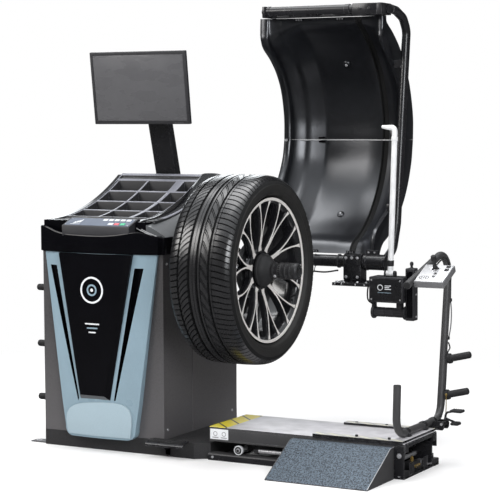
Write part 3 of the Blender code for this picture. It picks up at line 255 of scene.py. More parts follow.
SPINDLE = Vector(JOINTS["spindle_spin"]["pos_m"])
# 0.75 is the strength of the painted bounce light near the floor.
CABINET_PAINT = hammered("hammered_enamel", (0.066, 0.0635, 0.066), 0.75)
PLINTH_PAINT = hammered("plinth_enamel", (0.036, 0.0355, 0.037))
BLACK = coated("satin_black_paint", (0.011, 0.011, 0.0125), 0.27, 420.0, 0.1, worn=(0.2, 0.2, 0.21))
TUBE_GREY = coated("graphite_powder_coat", (0.05, 0.0495, 0.051), 0.42, 650.0, 0.3, metallic=0.2,
                   worn=(0.2, 0.2, 0.21))
TRIM = coated("trim_lacquer", (0.190, 0.268, 0.318), 0.3, 900.0, 0.05, patchy=0.04, coat=0.5, spread=0.06)
TRIM_LIGHT = coated("trim_boss_lacquer", (0.283, 0.366, 0.413), 0.34, 900.0, 0.05, patchy=0.03, coat=0.4)
GLOSS = coated("piano_black", (0.0022, 0.0022, 0.003), 0.14, 900.0, 0.02, patchy=0.2, spread=0.06,
               specular=0.2)
SHELL_GREY = coated("console_moulding", (0.085, 0.09, 0.095), 0.36, 800.0, 0.06, patchy=0.08, coat=0.4)
TEXTURED = coated("textured_black_plastic", (0.02, 0.02, 0.023), 0.5, 700.0, 0.4, patchy=0.15)
TRAY = coated("tray_plastic_mix", (0.022, 0.022, 0.024), 0.5, 650.0, 0.35, patchy=0.15, worn=(0.3, 0.31, 0.34))
# Painted highlight: the tray's rib tops and rounded edges get this paler colour where the top light falls on them.
TRAY_RIB_HIGHLIGHT = coated("tray_rib_tops", (0.17, 0.175, 0.205), 0.42, 650.0, 0.25, patchy=0.12)
LABEL = coated("keypad_film", (0.085, 0.105, 0.145), 0.5, 800.0, 0.05, patchy=0.06, coat=0.3)
WHITE_KEY = coated("white_keys", (0.72, 0.74, 0.76), 0.4, 500.0, 0.05, patchy=0.03)
RED_KEY = coated("red_key", (0.62, 0.08, 0.1), 0.35, 500.0, 0.05, patchy=0.05)
GREEN_KEY = coated("green_key", (0.04, 0.42, 0.2), 0.35, 500.0, 0.05, patchy=0.05)
HOOD = moulded_shell("hood_sheet", (0.0026, 0.0028, 0.0036))
SCREEN = screen_glass("display_glass", (0.086, 0.086, 0.091))
STEEL = metal("zinc_steel", (0.6, 0.6, 0.62), 0.3, (1.0, 1.0, 1.0), 140.0, metallic=0.6)
TURNED_STEEL = machined("turned_steel", (0.5, 0.5, 0.52), SPINDLE, 0.28)
ARM_METAL = metal("brushed_aluminium", (0.80, 0.81, 0.82), 0.4, (6.0, 6.0, 0.2), 60.0, metallic=0.12)
DECK = metal("deck_steel", (0.60, 0.59, 0.615), 0.5, (0.3, 6.0, 6.0), 50.0, 0.25, 0.3)
BRASS = metal("brass", (0.52, 0.36, 0.12), 0.3, (1.0, 1.0, 1.0), 120.0)
CASTING = coated("black_oxide", (0.03, 0.03, 0.032), 0.42, 300.0, 0.35, 0.0006, metallic=0.5, worn=(0.3, 0.3, 0.3))
RUBBER = rubbery("rubber", (0.014, 0.014, 0.015), 0.62)
TYRE = rubbery("tyre_rubber", (0.0125, 0.0125, 0.0135), 0.27, 500.0, 0.12, 0.75)
# Darker rubber as painted shade: the floors of the tyre's grooves and the faces of the hood's groove.
GROOVE_DARK_SHADE = rubbery("groove_rubber", (0.004, 0.004, 0.0042), 0.8, 300.0, 0.2)
SIDEWALL = rubbery("sidewall_rubber", (0.016, 0.0155, 0.015), 0.6, 300.0, 0.2)
RIM_FACE = machined("machined_alloy", (0.86, 0.83, 0.80), SPINDLE, 0.32, 0.35)
RIM_BLACK = coated("rim_gloss_black", (0.007, 0.007, 0.008), 0.16, 700.0, 0.03, coat=0.7, spread=0.08)
GRIT = gritty("ramp_grit_coat", (0.050, 0.064, 0.080))
# Silver panel paint; also used for thin lines that are painted highlights on the console crease and at the hood seam.
SILVER_AND_HIGHLIGHT = coated("silver_panel_paint", (0.5, 0.505, 0.52), 0.45, 700.0, 0.12, patchy=0.06, metallic=0.4,
                worn=(0.8, 0.8, 0.8))
SKIRT = coated("skirt_powder_coat", (0.04, 0.04, 0.042), 0.4, 500.0, 0.3, worn=(0.2, 0.2, 0.21))
GREY_CASE = coated("case_grey", (0.105, 0.105, 0.11), 0.45, 600.0, 0.3, patchy=0.08)
PALE = coated("pale_print", (0.62, 0.64, 0.66), 0.5, 500.0, 0.05, patchy=0.04)
HAZARD = striped("hazard_stripes", (0.80, 0.66, 0.015), (0.03, 0.03, 0.02), (1.0, 1.0, 0.0), 0.045, 0.3, (0.5, 0.49, 0.4), 0.87)
FADED = striped("faded_stripes", (0.62, 0.6, 0.42), (0.33, 0.33, 0.33), (1.0, 1.6, 0.0), 0.03, 0.55, (0.5, 0.5, 0.5))


# ---------------------------------------------------------------- shapes
def rounded(bm, width, segments=2, angle=35):
    """Rounds the edges that turn more sharply than an angle."""
    if width:
        limit = math.radians(angle)
        sharp = [edge for edge in bm.edges if edge.is_manifold and edge.calc_face_angle(0.0) > limit]
        bmesh.ops.bevel(bm, geom=sharp, offset=width, segments=segments, profile=0.5, affect="EDGES",
                        clamp_overlap=True)
    return bm


def block(low, high, bevel=0.001, segments=2):
    low, high = Vector(low), Vector(high)
    bm = bmesh.new()
    place = Matrix.Translation((low + high) / 2) @ Matrix.Diagonal((*(high - low), 1))
    bmesh.ops.create_cube(bm, size=1.0, matrix=place)
    return rounded(bm, bevel, segments)


def rod(start, end, radius, sides=28, bevel=0.0, end_radius=None):
    start, end = Vector(start), Vector(end)
    turn = UP.rotation_difference(end - start).to_matrix().to_4x4()
    bm = bmesh.new()
    bmesh.ops.create_cone(bm, cap_ends=True, segments=sides, radius1=radius,
                          radius2=radius if end_radius is None else end_radius,
                          depth=(end - start).length, matrix=Matrix.Translation((start + end) / 2) @ turn)
    return rounded(bm, bevel, 2, 50)


def skin(bm, rows, across=False, along=False):
    """Faces between rows of vertices; across closes each row, along joins the last row to the first."""
    count = len(rows[0])
    for a, b in zip(rows, rows[1:] + (rows[:1] if along else [])):
        for i in range(count if across else count - 1):
            corners = [a[i], a[(i + 1) % count], b[(i + 1) % count], b[i]]
            unique = list(dict.fromkeys(corners))
            if len(unique) > 2:
                bm.faces.new(unique)
    return bm


def turned(profile, centre, axis="X", sides=72, ring=False):
    """A turned shape from (distance along the axis, radius) points; a ring's profile is a closed loop."""
    turn = UP.rotation_difference(AXES[axis])
    bm = bmesh.new()
    columns = []
    for along, radius in profile:
        if radius < 1e-6:
            columns.append([bm.verts.new(Vector(centre) + turn @ Vector((0, 0, along)))] * sides)
            continue
        column = []
        for i in range(sides):
            angle = math.tau * i / sides
            spot = Vector((radius * math.cos(angle), radius * math.sin(angle), along))
            column.append(bm.verts.new(Vector(centre) + turn @ spot))
        columns.append(column)
    return skin(bm, columns, across=True, along=ring)


def prism(outline, axis, low, high, bevel=0.0, segments=2, angle=35):
    """A flat outline thickened between two distances along an axis."""
    def spot(u, v, w):
        return {"X": (w, u, v), "Y": (u, w, v), "Z": (u, v, w)}[axis]
    bm = bmesh.new()
    bottom = [bm.verts.new(spot(u, v, low)) for u, v in outline]
    top = [bm.verts.new(spot(u, v, high)) for u, v in outline]
    bm.faces.new(bottom)
    bm.faces.new(top)
    skin(bm, [bottom, top], across=True)
    return rounded(bm, bevel, segments, angle)


def swept(path, radius, sides=20, bevel=0.0):
    """A round bar along a path, kept from twisting; radius may be a list, one for each point."""
    path = [Vector(point) for point in path]
    radii = radius if isinstance(radius, (list, tuple)) else [radius] * len(path)
    bm = bmesh.new()
    heading = (path[1] - path[0]).normalized()
    side = heading.orthogonal().normalized()
    rows = []
    for i, point in enumerate(path):
        before, after = path[max(i - 1, 0)], path[min(i + 1, len(path) - 1)]
        ahead = (after - before).normalized()
        side = (heading.rotation_difference(ahead) @ side).normalized()
        heading = ahead
        other = heading.cross(side)
        rows.append([bm.verts.new(point + (side * math.cos(math.tau * k / sides)
                                           + other * math.sin(math.tau * k / sides)) * radii[i])
                     for k in range(sides)])
    skin(bm, rows, across=True)
    bm.faces.new(rows[0])
    bm.faces.new(rows[-1])
    return rounded(bm, bevel, 2, 60)


def arc(centre, radius, start, end, steps):
    return [(centre[0] + radius * math.cos(math.radians(start + (end - start) * i / steps)),
             centre[1] + radius * math.sin(math.radians(start + (end - start) * i / steps)))
            for i in range(steps + 1)]


def bent(corners, radii, steps=8):
    """A path through corners, each inner corner rounded to its own bend radius."""
    corners = [Vector(corner) for corner in corners]
    path = [corners[0]]
    for before, corner, after, radius in zip(corners, corners[1:], corners[2:], radii):
        back, ahead = (before - corner).normalized(), (after - corner).normalized()
        half = back.angle(ahead) / 2
        centre = corner + (back + ahead).normalized() * radius / math.sin(half)
        start = corner + back * radius / math.tan(half) - centre
        turn = start.rotation_difference(corner + ahead * radius / math.tan(half) - centre)
        path += [centre + Quaternion().slerp(turn, i / steps) @ start for i in range(steps + 1)]
    return path + [corners[-1]]


def smooth_path(points, steps=8):
    """A soft curve through points, for cables and hoses."""
    points = [Vector(point) for point in points]
    points = [2 * points[0] - points[1]] + points + [2 * points[-1] - points[-2]]
    path = []
    for a, b, c, d in zip(points, points[1:], points[2:], points[3:]):
        for i in range(steps):
            t = i / steps
            path.append(0.5 * (2 * b + (c - a) * t + (2 * a - 5 * b + 4 * c - d) * t * t
                               + (3 * b - a - 3 * c + d) * t ** 3))
    return path + [points[-2]]


def carved(solid, *cutters, operation="DIFFERENCE"):
    """A solid with other solids taken away from it, or kept inside them."""
    def as_object(bm):
        bmesh.ops.recalc_face_normals(bm, faces=bm.faces)
        mesh = bpy.data.meshes.new("carving")
        bm.to_mesh(mesh)
        bm.free()
        made = bpy.data.objects.new("carving", mesh)
        bpy.context.scene.collection.objects.link(made)
        return made
    target, tools = as_object(solid), [as_object(cutter) for cutter in cutters]
    for tool in tools:
        boolean = target.modifiers.new("cut", "BOOLEAN")
        boolean.operation = operation
        boolean.object = tool
    bpy.context.view_layer.update()
    mesh = bpy.data.meshes.new_from_object(target.evaluated_get(bpy.context.evaluated_depsgraph_get()))
    bm = bmesh.new()
    bm.from_mesh(mesh)
    bpy.data.meshes.remove(mesh)
    for used in (target, *tools):
        bpy.data.objects.remove(used)
    return bm


class Form:
    """Shapes gathered into one mesh, each in its own material."""

    def __init__(self):
        self.bm = bmesh.new()
        self.materials = []

    def number(self, material):
        if material not in self.materials:
            self.materials.append(material)
        return self.materials.index(material)

    def take(self, shape, material, choose=None):
        """Adds a shape in one material; choose(face centre, face normal) may name another one."""
        bmesh.ops.recalc_face_normals(shape, faces=shape.faces)
        number = self.number(material)
        for face in shape.faces:
            other = choose(face.calc_center_median(), face.normal) if choose else None
            face.material_index = self.number(other) if other else number
            face.smooth = True
        mesh = bpy.data.meshes.new("shape")
        shape.to_mesh(mesh)
        shape.free()
        self.bm.from_mesh(mesh)
        bpy.data.meshes.remove(mesh)
        return self

    def piece(self, name, body, replaces=(), slot=None, sharp=32):
        mesh = bpy.data.meshes.new(name)
        self.bm.to_mesh(mesh)
        self.bm.free()
        mesh.set_sharp_from_angle(angle=math.radians(sharp))
        for material in self.materials:
            mesh.materials.append(material)
        made = bpy.data.objects.new(name, mesh)
        bpy.context.scene.collection.objects.link(made)
        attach(made, body)
        if replaces:
            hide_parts(*replaces)
        return made


def hex_bolt(form, at, axis, size, material=None, height=0.6):
    """A hexagon head with a washer, on a face whose outward normal is the axis."""
    at, axis = Vector(at), Vector(axis).normalized()
    form.take(rod(at, at + axis * size * 0.14, size * 0.72, 24), material or STEEL)
    form.take(rod(at + axis * size * 0.1, at + axis * size * height, size / math.sqrt(3), 6,
                  size * 0.05), material or STEEL)


def cap_screw(form, at, axis, radius, material=None):
    """A round head with a socket."""
    at, axis = Vector(at), Vector(axis).normalized()
    turn = UP.rotation_difference(axis)
    bm = turned([(0.0, 0.0), (0.0, radius), (radius * 0.55, radius), (radius * 0.75, radius * 0.85),
                 (radius * 0.75, radius * 0.5), (radius * 0.35, radius * 0.45), (radius * 0.35, 0.0)],
                (0, 0, 0), "Z", 18)
    bm.transform(Matrix.Translation(at) @ turn.to_matrix().to_4x4())
    form.take(bm, material or STEEL)


# ---------------------------------------------------------------- wheel
TYRE_LOW, TYRE_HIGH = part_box("wheel_tyre")
RIM_LOW, RIM_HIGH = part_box("wheel_rim")
TYRE_RADIUS = (TYRE_HIGH.z - TYRE_LOW.z) / 2
TYRE_HALF = (TYRE_HIGH.x - TYRE_LOW.x) / 2
WHEEL_CENTRE = Vector(((TYRE_HIGH.x + TYRE_LOW.x) / 2, SPINDLE.y, SPINDLE.z))
PITCHES = 50
TREAD_DEPTH = 0.0072
# Half of the tyre's outer line: distance from the middle plane, and drop below the full radius.
CROWN = ((0.0, 0.0), (0.045, 0.0003), (0.075, 0.0014), (0.095, 0.0037), (0.108, 0.0075), (0.117, 0.013),
         (0.124, 0.021), (0.128, 0.03))


def crown_radius(offset):
    offset = abs(offset)
    for (a, drop_a), (b, drop_b) in zip(CROWN, CROWN[1:]):
        if offset <= b:
            return TYRE_RADIUS - drop_a - (drop_b - drop_a) * (offset - a) / (b - a)
    return TYRE_RADIUS - CROWN[-1][1]


def tread_point(turn, offset, depth=0.0):
    """A point on the tread: a turn in pitches, a distance from the middle plane, a depth under the crown."""
    angle = math.tau * turn / PITCHES
    radius = crown_radius(offset) - depth
    return WHEEL_CENTRE + Vector((offset, -radius * math.cos(angle), radius * math.sin(angle)))


def tread_block(bm, lower, upper):
    """One rubber block between two edge lines of (turn, offset) points, with slightly sloped walls."""
    slope = 0.02
    rows = []
    for line, sign in ((lower, -1), (upper, 1)):
        top = [bm.verts.new(tread_point(turn, offset)) for turn, offset in line]
        foot = [bm.verts.new(tread_point(turn + sign * slope, offset, TREAD_DEPTH + 0.001)) for turn, offset in line]
        rows.append((foot, top))
    (foot_a, top_a), (foot_b, top_b) = rows
    skin(bm, [foot_a, top_a, top_b, foot_b], along=True)
    for i in (0, -1):
        bm.faces.new([foot_a[i], top_a[i], top_b[i], foot_b[i]])


def tread_lane(bm, low, high, blocks, bend, steps=5):
    """A ring of blocks between two offsets, each block from one share of a pitch to another.
    bend(t) shifts the slots round the tyre across the lane."""
    for pitch in range(PITCHES):
        for first, last in blocks:
            lines = [[(pitch + turn + bend(i / steps), low + (high - low) * i / steps) for i in range(steps + 1)]
                     for turn in (first, last)]
            tread_block(bm, *lines)


def tyre():
    form = Form()
    outer = [(offset, crown_radius(offset) - TREAD_DEPTH) for offset, _ in CROWN[:5]]
    outer += [(0.1165, TYRE_RADIUS - 0.0165), (0.1235, TYRE_RADIUS - 0.0235), (0.1278, TYRE_RADIUS - 0.031)]
    wall = [(0.1288, 0.3195), (0.1295, 0.319), (0.1302, 0.314), (TYRE_HALF - 0.0006, 0.3075), (0.1303, 0.301),
            (0.1286, 0.295), (0.1272, 0.2925), (0.1276, 0.2905), (0.1268, 0.2885), (0.124, 0.284),
            (0.1222, 0.2822), (0.119, 0.2812), (0.1135, 0.2775), (0.1062, 0.2735), (0.1015, 0.2716), (0.1011, 0.262)]
    lining = [(0.094, 0.258), (0.098, 0.28), (0.118, 0.305), (0.11, 0.328), (0.08, 0.338), (0.0, 0.34)]
    half = outer + wall + lining
    loop = half + [(-offset, radius) for offset, radius in reversed(half) if offset > 0]
    shoulder = TYRE_RADIUS - 0.034

    def rubber(centre, normal):
        radius = math.hypot(centre.y - SPINDLE.y, centre.z - SPINDLE.z)
        return SIDEWALL if radius < shoulder else None
    # The base ring: painted shade on the groove floors and under the blocks, sidewall rubber below the shoulder.
    form.take(turned(loop, WHEEL_CENTRE, sides=200, ring=True), GROOVE_DARK_SHADE, rubber)
    bm = bmesh.new()
    tread_lane(bm, -0.1235, -0.0835, ((0.0, 0.385), (0.5, 0.885)), lambda t: 0.22 * t)
    tread_lane(bm, -0.0755, -0.0395, ((0.1, 0.47), (0.59, 0.94)), lambda t: 0.85 * t ** 0.65)
    tread_lane(bm, 0.0145, 0.0430, ((0.0, 0.66), (0.77, 0.88)), lambda t: -0.95 * t ** 1.3, 7)
    tread_lane(bm, 0.0612, 0.1235, ((0.1, 0.485), (0.60, 0.985)), lambda t: -0.1 * t - 0.25 * t * t, 7)
    tread_lane(bm, 0.0520, 0.0588, ((0.1, 0.545), (0.60, 1.045)), lambda t: 0.0, 1)
    form.take(bm, TYRE)
    for low, high in ((-0.0285, -0.0178), (-0.0158, -0.0062), (0.0042, 0.0108)):
        depth = TREAD_DEPTH + 0.001
        section = [(low - 0.0008, crown_radius(low) - depth), (low, crown_radius(low)), (high, crown_radius(high)),
                   (high + 0.0008, crown_radius(high) - depth)]
        form.take(turned(section, WHEEL_CENTRE, sides=200, ring=True), TYRE)
    form.piece("tyre_with_tread", "spindle", ["wheel_tyre"], "tyre")


SPOKE_ROOTS = 10
SPLIT_RADIUS, SPOKE_END = 0.128, 0.2585


def face_depth(radius):
    """How far right the machined spoke face stands at a radius: dished towards the hub."""
    share = max(0.0, min(1.0, (radius - 0.085) / (SPOKE_END - 0.085)))
    return RIM_HIGH.x - 0.040 + 0.0345 * share ** 0.85


def spoke(form, line, thickness=0.026):
    """A spoke along (radius, angle, half width) stations: machined face, black sides that widen backwards."""
    bm = bmesh.new()
    rows = []
    for radius, angle, half in line:
        out = Vector((0, -math.cos(angle), math.sin(angle)))
        side = Vector((0, math.sin(angle), math.cos(angle)))
        middle = Vector((0, SPINDLE.y, SPINDLE.z)) + out * radius
        x = face_depth(radius)
        spots = [(-half - 0.003, x - thickness), (-half - 0.0006, x - 0.0012), (-half + 0.0003, x),
                 (half - 0.0003, x), (half + 0.0006, x - 0.0012), (half + 0.003, x - thickness)]
        rows.append([bm.verts.new(middle + side * shift + Vector((depth, 0, 0))) for shift, depth in spots])
    skin(bm, rows, across=True)
    bm.faces.new(rows[0])
    bm.faces.new(rows[-1])
    form.take(bm, RIM_BLACK, lambda centre, normal: RIM_FACE if normal.x > 0.8 else None)


def rim():
    form = Form()
    left, right = RIM_LOW.x, RIM_HIGH.x
    flange = (RIM_HIGH.z - RIM_LOW.z) / 2
    barrel = [(left, flange - 0.004), (left + 0.003, flange), (left + 0.011, flange), (left + 0.0135, 0.2535),
              (left + 0.03, 0.2535), (left + 0.045, 0.229), (left + 0.092, 0.229), (left + 0.11, 0.2535),
              (right - 0.0128, 0.2535), (right - 0.0112, flange), (right - 0.004, flange),
              (right - 0.001, flange - 0.0018), (right, flange - 0.0045), (right - 0.0006, flange - 0.008),
              (right - 0.0035, 0.2585), (right - 0.0065, 0.2565), (right - 0.0095, 0.2535), (right - 0.013, 0.2495),
              (right - 0.018, 0.2465), (right - 0.06, 0.2425), (left + 0.112, 0.2425), (left + 0.09, 0.2215), (left + 0.047, 0.2215),
              (left + 0.03, 0.2425), (left + 0.006, 0.247)]

    def finish_of(centre, normal):
        radius = math.hypot(centre.y - SPINDLE.y, centre.z - SPINDLE.z)
        return RIM_FACE if centre.x > right - 0.010 and normal.x > 0.7 and radius > 0.2583 else None
    form.take(turned(barrel, (0, SPINDLE.y, SPINDLE.z), sides=160, ring=True), RIM_BLACK, finish_of)
    hub_face = face_depth(0.0)
    hub = [(hub_face - 0.026, 0.0362), (hub_face - 0.026, 0.082), (hub_face - 0.006, 0.084), (hub_face - 0.002, 0.080),
           (hub_face - 0.0022, 0.0362)]
    form.take(turned(hub, (0, SPINDLE.y, SPINDLE.z), sides=96, ring=True), RIM_BLACK)
    spread = math.tau / SPOKE_ROOTS / 4
    for i in range(SPOKE_ROOTS):
        middle = math.tau * (i + 0.28) / SPOKE_ROOTS
        root = [(0.072, middle, 0.0125), (0.085, middle, 0.0098), (0.1, middle, 0.0084), (0.115, middle, 0.0083),
                (SPLIT_RADIUS + 0.004, middle, 0.0094)]
        spoke(form, root)
        for side in (-1, 1):
            line = []
            for k in range(13):
                share = k / 12
                radius = SPLIT_RADIUS - 0.006 + (SPOKE_END + 0.006 - SPLIT_RADIUS) * share
                turn = middle + side * (0.0035 / SPLIT_RADIUS * (1 - share) + spread * share ** 1.35)
                flare = 0.0045 * max(0.0, share - 0.86) / 0.14
                line.append((radius, turn, 0.0044 - 0.0012 * math.sin(math.pi * share) + flare))
            spoke(form, line)
    for i in range(5):
        angle = math.tau * i / 5
        at = Vector((hub_face - 0.0025, SPINDLE.y - 0.0715 * math.cos(angle), SPINDLE.z + 0.0715 * math.sin(angle)))
        form.take(rod(at - Vector((0.004, 0, 0)), at + Vector((0.0012, 0, 0)), 0.0055, 20, 0.0006), RIM_BLACK)
    valve = Vector((right - 0.02, SPINDLE.y + 0.2, SPINDLE.z - 0.118))
    form.take(swept([valve, valve + Vector((0.02, -0.012, 0.008)), valve + Vector((0.03, -0.015, 0.01))], 0.004, 12),
              RUBBER)
    form.piece("alloy_rim", "spindle", ["wheel_rim"], "rim_alloy")


def spindle_group():
    shaft_low, shaft_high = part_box("spindle_shaft")
    cup_low, cup_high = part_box("pressure_cup")
    nut_low, nut_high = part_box("quick_nut")
    bore = (shaft_high.z - shaft_low.z) / 2
    line = (0, SPINDLE.y, SPINDLE.z)
    cup_radius = (cup_high.z - cup_low.z) / 2
    x = cup_low.x
    cup = [(x, 0.0215), (x, cup_radius - 0.004), (x + 0.0015, cup_radius - 0.001), (x + 0.004, cup_radius),
           (x + 0.010, cup_radius - 0.0004), (x + 0.0125, cup_radius - 0.003), (x + 0.019, cup_radius - 0.0035),
           (x + 0.028, cup_radius - 0.009), (x + 0.036, cup_radius - 0.0165), (x + 0.043, cup_radius - 0.026),
           (cup_high.x - 0.0005, cup_radius - 0.032), (cup_high.x - 0.0005, 0.0215)]
    form = Form().take(turned(cup, line, sides=96, ring=True), RUBBER)
    form.piece("pressure_cup_dome", "spindle", ["pressure_cup"], "cast_black")
    x, end = nut_low.x, nut_high.x
    nut = [(x, 0.0215), (x, 0.029), (x + 0.002, 0.031), (x + 0.010, 0.031), (x + 0.0125, 0.0275), (x + 0.020, 0.0268),
           (x + 0.0275, 0.0275), (x + 0.030, 0.0305), (x + 0.041, 0.031), (x + 0.043, 0.0288), (x + 0.047, 0.0288),
           (x + 0.049, 0.031), (x + 0.060, 0.031), (x + 0.062, 0.0288), (x + 0.066, 0.0288), (x + 0.068, 0.031),
           (x + 0.079, 0.031), (x + 0.081, 0.0288), (x + 0.085, 0.0288), (x + 0.087, 0.031), (end - 0.009, 0.031),
           (end - 0.003, 0.0285), (end, 0.0245), (end, 0.0175), (end - 0.006, 0.0165), (end - 0.006, 0.010),
           (end - 0.010, 0.010), (end - 0.010, 0.0215)]
    form = Form().take(turned(nut, line, sides=80, ring=True), CASTING)
    for i in range(24):
        angle = math.tau * i / 24
        out = Vector((0, math.cos(angle), math.sin(angle)))
        start = Vector((x + 0.0315, SPINDLE.y, SPINDLE.z)) + out * 0.0307
        form.take(rod(start, start + Vector((0.0085, 0, 0)), 0.0011, 6), CASTING)
    for angle in (40, 220):
        turn = math.radians(angle)
        out = Vector((0, math.cos(turn), math.sin(turn)))
        at = Vector((x + 0.0165, SPINDLE.y, SPINDLE.z))
        form.take(rod(at + out * 0.022, at + out * 0.0315, 0.0055, 20, 0.0012), STEEL)
    form.piece("quick_nut_body", "nut", ["quick_nut"], "cast_black")
    housing_low, housing_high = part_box("spindle_housing")
    face = Form()
    for i in range(6):
        angle = math.tau * (i + 0.5) / 6
        at = Vector((housing_high.x - 0.0005, SPINDLE.y + 0.0402 * math.cos(angle), SPINDLE.z + 0.0402 * math.sin(angle)))
        cap_screw(face, at, (1, 0, 0), 0.0022)
    face.piece("housing_screws", "base", slot="bright_steel")


# ---------------------------------------------------------------- stage
def studio():
    scene = bpy.context.scene
    scene.view_settings.view_transform = "Standard"
    world = bpy.data.worlds.new("studio")
    scene.world = world
    world.use_nodes = True
    nodes, links = world.node_tree.nodes, world.node_tree.links
    nodes.clear()
    output = nodes.new("ShaderNodeOutputWorld")
    mixer = nodes.new("ShaderNodeMixShader")
    path = nodes.new("ShaderNodeLightPath")
    seen, even, mirrored = (nodes.new("ShaderNodeBackground") for _ in range(3))
    reflected = nodes.new("ShaderNodeMixShader")
    seen.inputs[0].default_value = (1, 1, 1, 1)
    even.inputs[0].default_value = (1.0, 0.99, 0.985, 1)
    even.inputs[1].default_value = 0.62
    mirrored.inputs[0].default_value = (0.93, 0.965, 1.0, 1)
    place = nodes.new("ShaderNodeTexCoord")
    split = nodes.new("ShaderNodeSeparateXYZ")
    height = nodes.new("ShaderNodeMapRange")
    height.interpolation_type = "SMOOTHSTEP"
    links.new(place.outputs["Generated"], split.inputs[0])
    links.new(split.outputs[2], height.inputs["Value"])
    for name, value in (("From Min", 0.42), ("From Max", 1.0), ("To Min", 0.04), ("To Max", 1.55)):
        height.inputs[name].default_value = value
    links.new(height.outputs[0], mirrored.inputs[1])
    links.new(path.outputs["Is Glossy Ray"], reflected.inputs[0])
    links.new(even.outputs[0], reflected.inputs[1])
    links.new(mirrored.outputs[0], reflected.inputs[2])
    links.new(path.outputs["Is Camera Ray"], mixer.inputs[0])
    links.new(reflected.outputs[0], mixer.inputs[1])
    links.new(seen.outputs[0], mixer.inputs[2])
    links.new(mixer.outputs[0], output.inputs[0])

    floor = Graph("pale_floor")
    reflection = floor.add("LightPath").outputs["Is Glossy Ray"]
    bright = floor.mix(floor.ramp(floor.noise(0.6, 2.0), 0.3, 0.7), (0.93, 0.93, 0.935), (0.96, 0.96, 0.96))
    far = floor.ramp(floor.add("VectorMath", {0: floor.place}, operation="LENGTH").outputs["Value"], 0.9, 2.6)
    glow = floor.math("MULTIPLY", far, floor.add("LightPath").outputs["Is Camera Ray"])
    floor.finish(Base_Color=floor.mix(glow, floor.mix(reflection, bright, (0.11, 0.11, 0.113)), (0.0, 0.0, 0.0)),
                 Roughness=0.9, Specular_IOR_Level=0.0, Emission_Color=(1.0, 1.0, 1.0), Emission_Strength=glow,
                 Normal=floor.bump(floor.noise(250.0, 3.0), 0.03, 0.001))
    bm = bmesh.new()
    bmesh.ops.create_circle(bm, cap_ends=True, segments=96, radius=40.0)
    mesh = bpy.data.meshes.new("floor")
    bm.to_mesh(mesh)
    bm.free()
    mesh.materials.append(floor.material)
    made = bpy.data.objects.new("floor", mesh)
    scene.collection.objects.link(made)

    centre = (Vector(CAD_BOX[0]) + Vector(CAD_BOX[1])) / 2
    lights = (("key", (-2.6, -3.2, 3.4), 2.2, 130.0, (1.0, 0.98, 0.96)),
              ("fill", (3.6, -3.2, 2.3), 1.8, 100.0, (0.95, 0.97, 1.0)),
              ("top", (0.3, 0.4, 4.2), 3.0, 110.0, (1.0, 1.0, 1.0)),
              ("rim", (-2.2, 3.4, 2.4), 2.0, 55.0, (0.93, 0.97, 1.0)))
    for name, place, size, power, colour in lights:
        light = bpy.data.lights.new(name, "AREA")
        light.shape = "SQUARE"
        light.size = size
        light.energy = power
        light.color = colour
        lamp = bpy.data.objects.new(name, light)
        lamp.location = place
        lamp.rotation_euler = (centre - Vector(place)).to_track_quat("-Z", "Y").to_euler()
        scene.collection.objects.link(lamp)


def camera():
    azimuth, pitch, roll = (math.radians(angle) for angle in (28.59, 4.54, -0.284))
    ahead = Vector((-math.sin(azimuth) * math.cos(pitch), math.cos(azimuth) * math.cos(pitch), -math.sin(pitch)))
    level = Vector((math.cos(azimuth), math.sin(azimuth), 0))
    upward = level.cross(ahead)
    right = level * math.cos(roll) + upward * math.sin(roll)
    above = upward * math.cos(roll) - level * math.sin(roll)
    lens = bpy.data.cameras.new("camera")
    lens.sensor_width = 36.0
    lens.lens = 127.29
    lens.clip_end = 200.0
    made = bpy.data.objects.new("camera", lens)
    bpy.context.scene.collection.objects.link(made)
    made.matrix_world = Matrix.Translation((3.6865, -5.8716, 1.2927)) @ Matrix(
        (right, above, -ahead)).transposed().to_4x4()
    bpy.context.scene.camera = made


# ---------------------------------------------------------------- cabinet front
def slab(rows, floor):
    """A solid under a grid of points, with upright walls down to a floor height."""
    bm = bmesh.new()
    top = [[bm.verts.new(point) for point in row] for row in rows]
    foot = [[bm.verts.new((point[0], point[1], floor)) for point in row] for row in rows]
    skin(bm, top)
    skin(bm, foot)
    rim = [[*grid[0], *[row[-1] for row in grid[1:-1]], *reversed(grid[-1]), *[row[0] for row in grid[-2:0:-1]]]
           for grid in (top, foot)]
    return skin(bm, rim, across=True)


def looped(loops, along=False):
    """A closed shell through loops of points, with flat ends unless the last joins the first."""
    bm = bmesh.new()
    rows = [[bm.verts.new(point) for point in loop] for loop in loops]
    skin(bm, rows, across=True, along=along)
    if not along:
        bm.faces.new(rows[0])
        bm.faces.new(rows[-1])
    return bm


def bowed(x, half, front, rise):
    return front - rise * (1 - (x / half) ** 2)


def trim_bow(rise):
    """A block whose front is bowed like the trim, standing proud of it by a rise."""
    line = [(x / 100 - 0.26, bowed(x / 100 - 0.26, 0.26, -0.287, 0.036) - rise) for x in range(53)]
    return prism(line + [(0.26, -0.2803), (-0.26, -0.2803)], "Z", 0.0, 0.8)


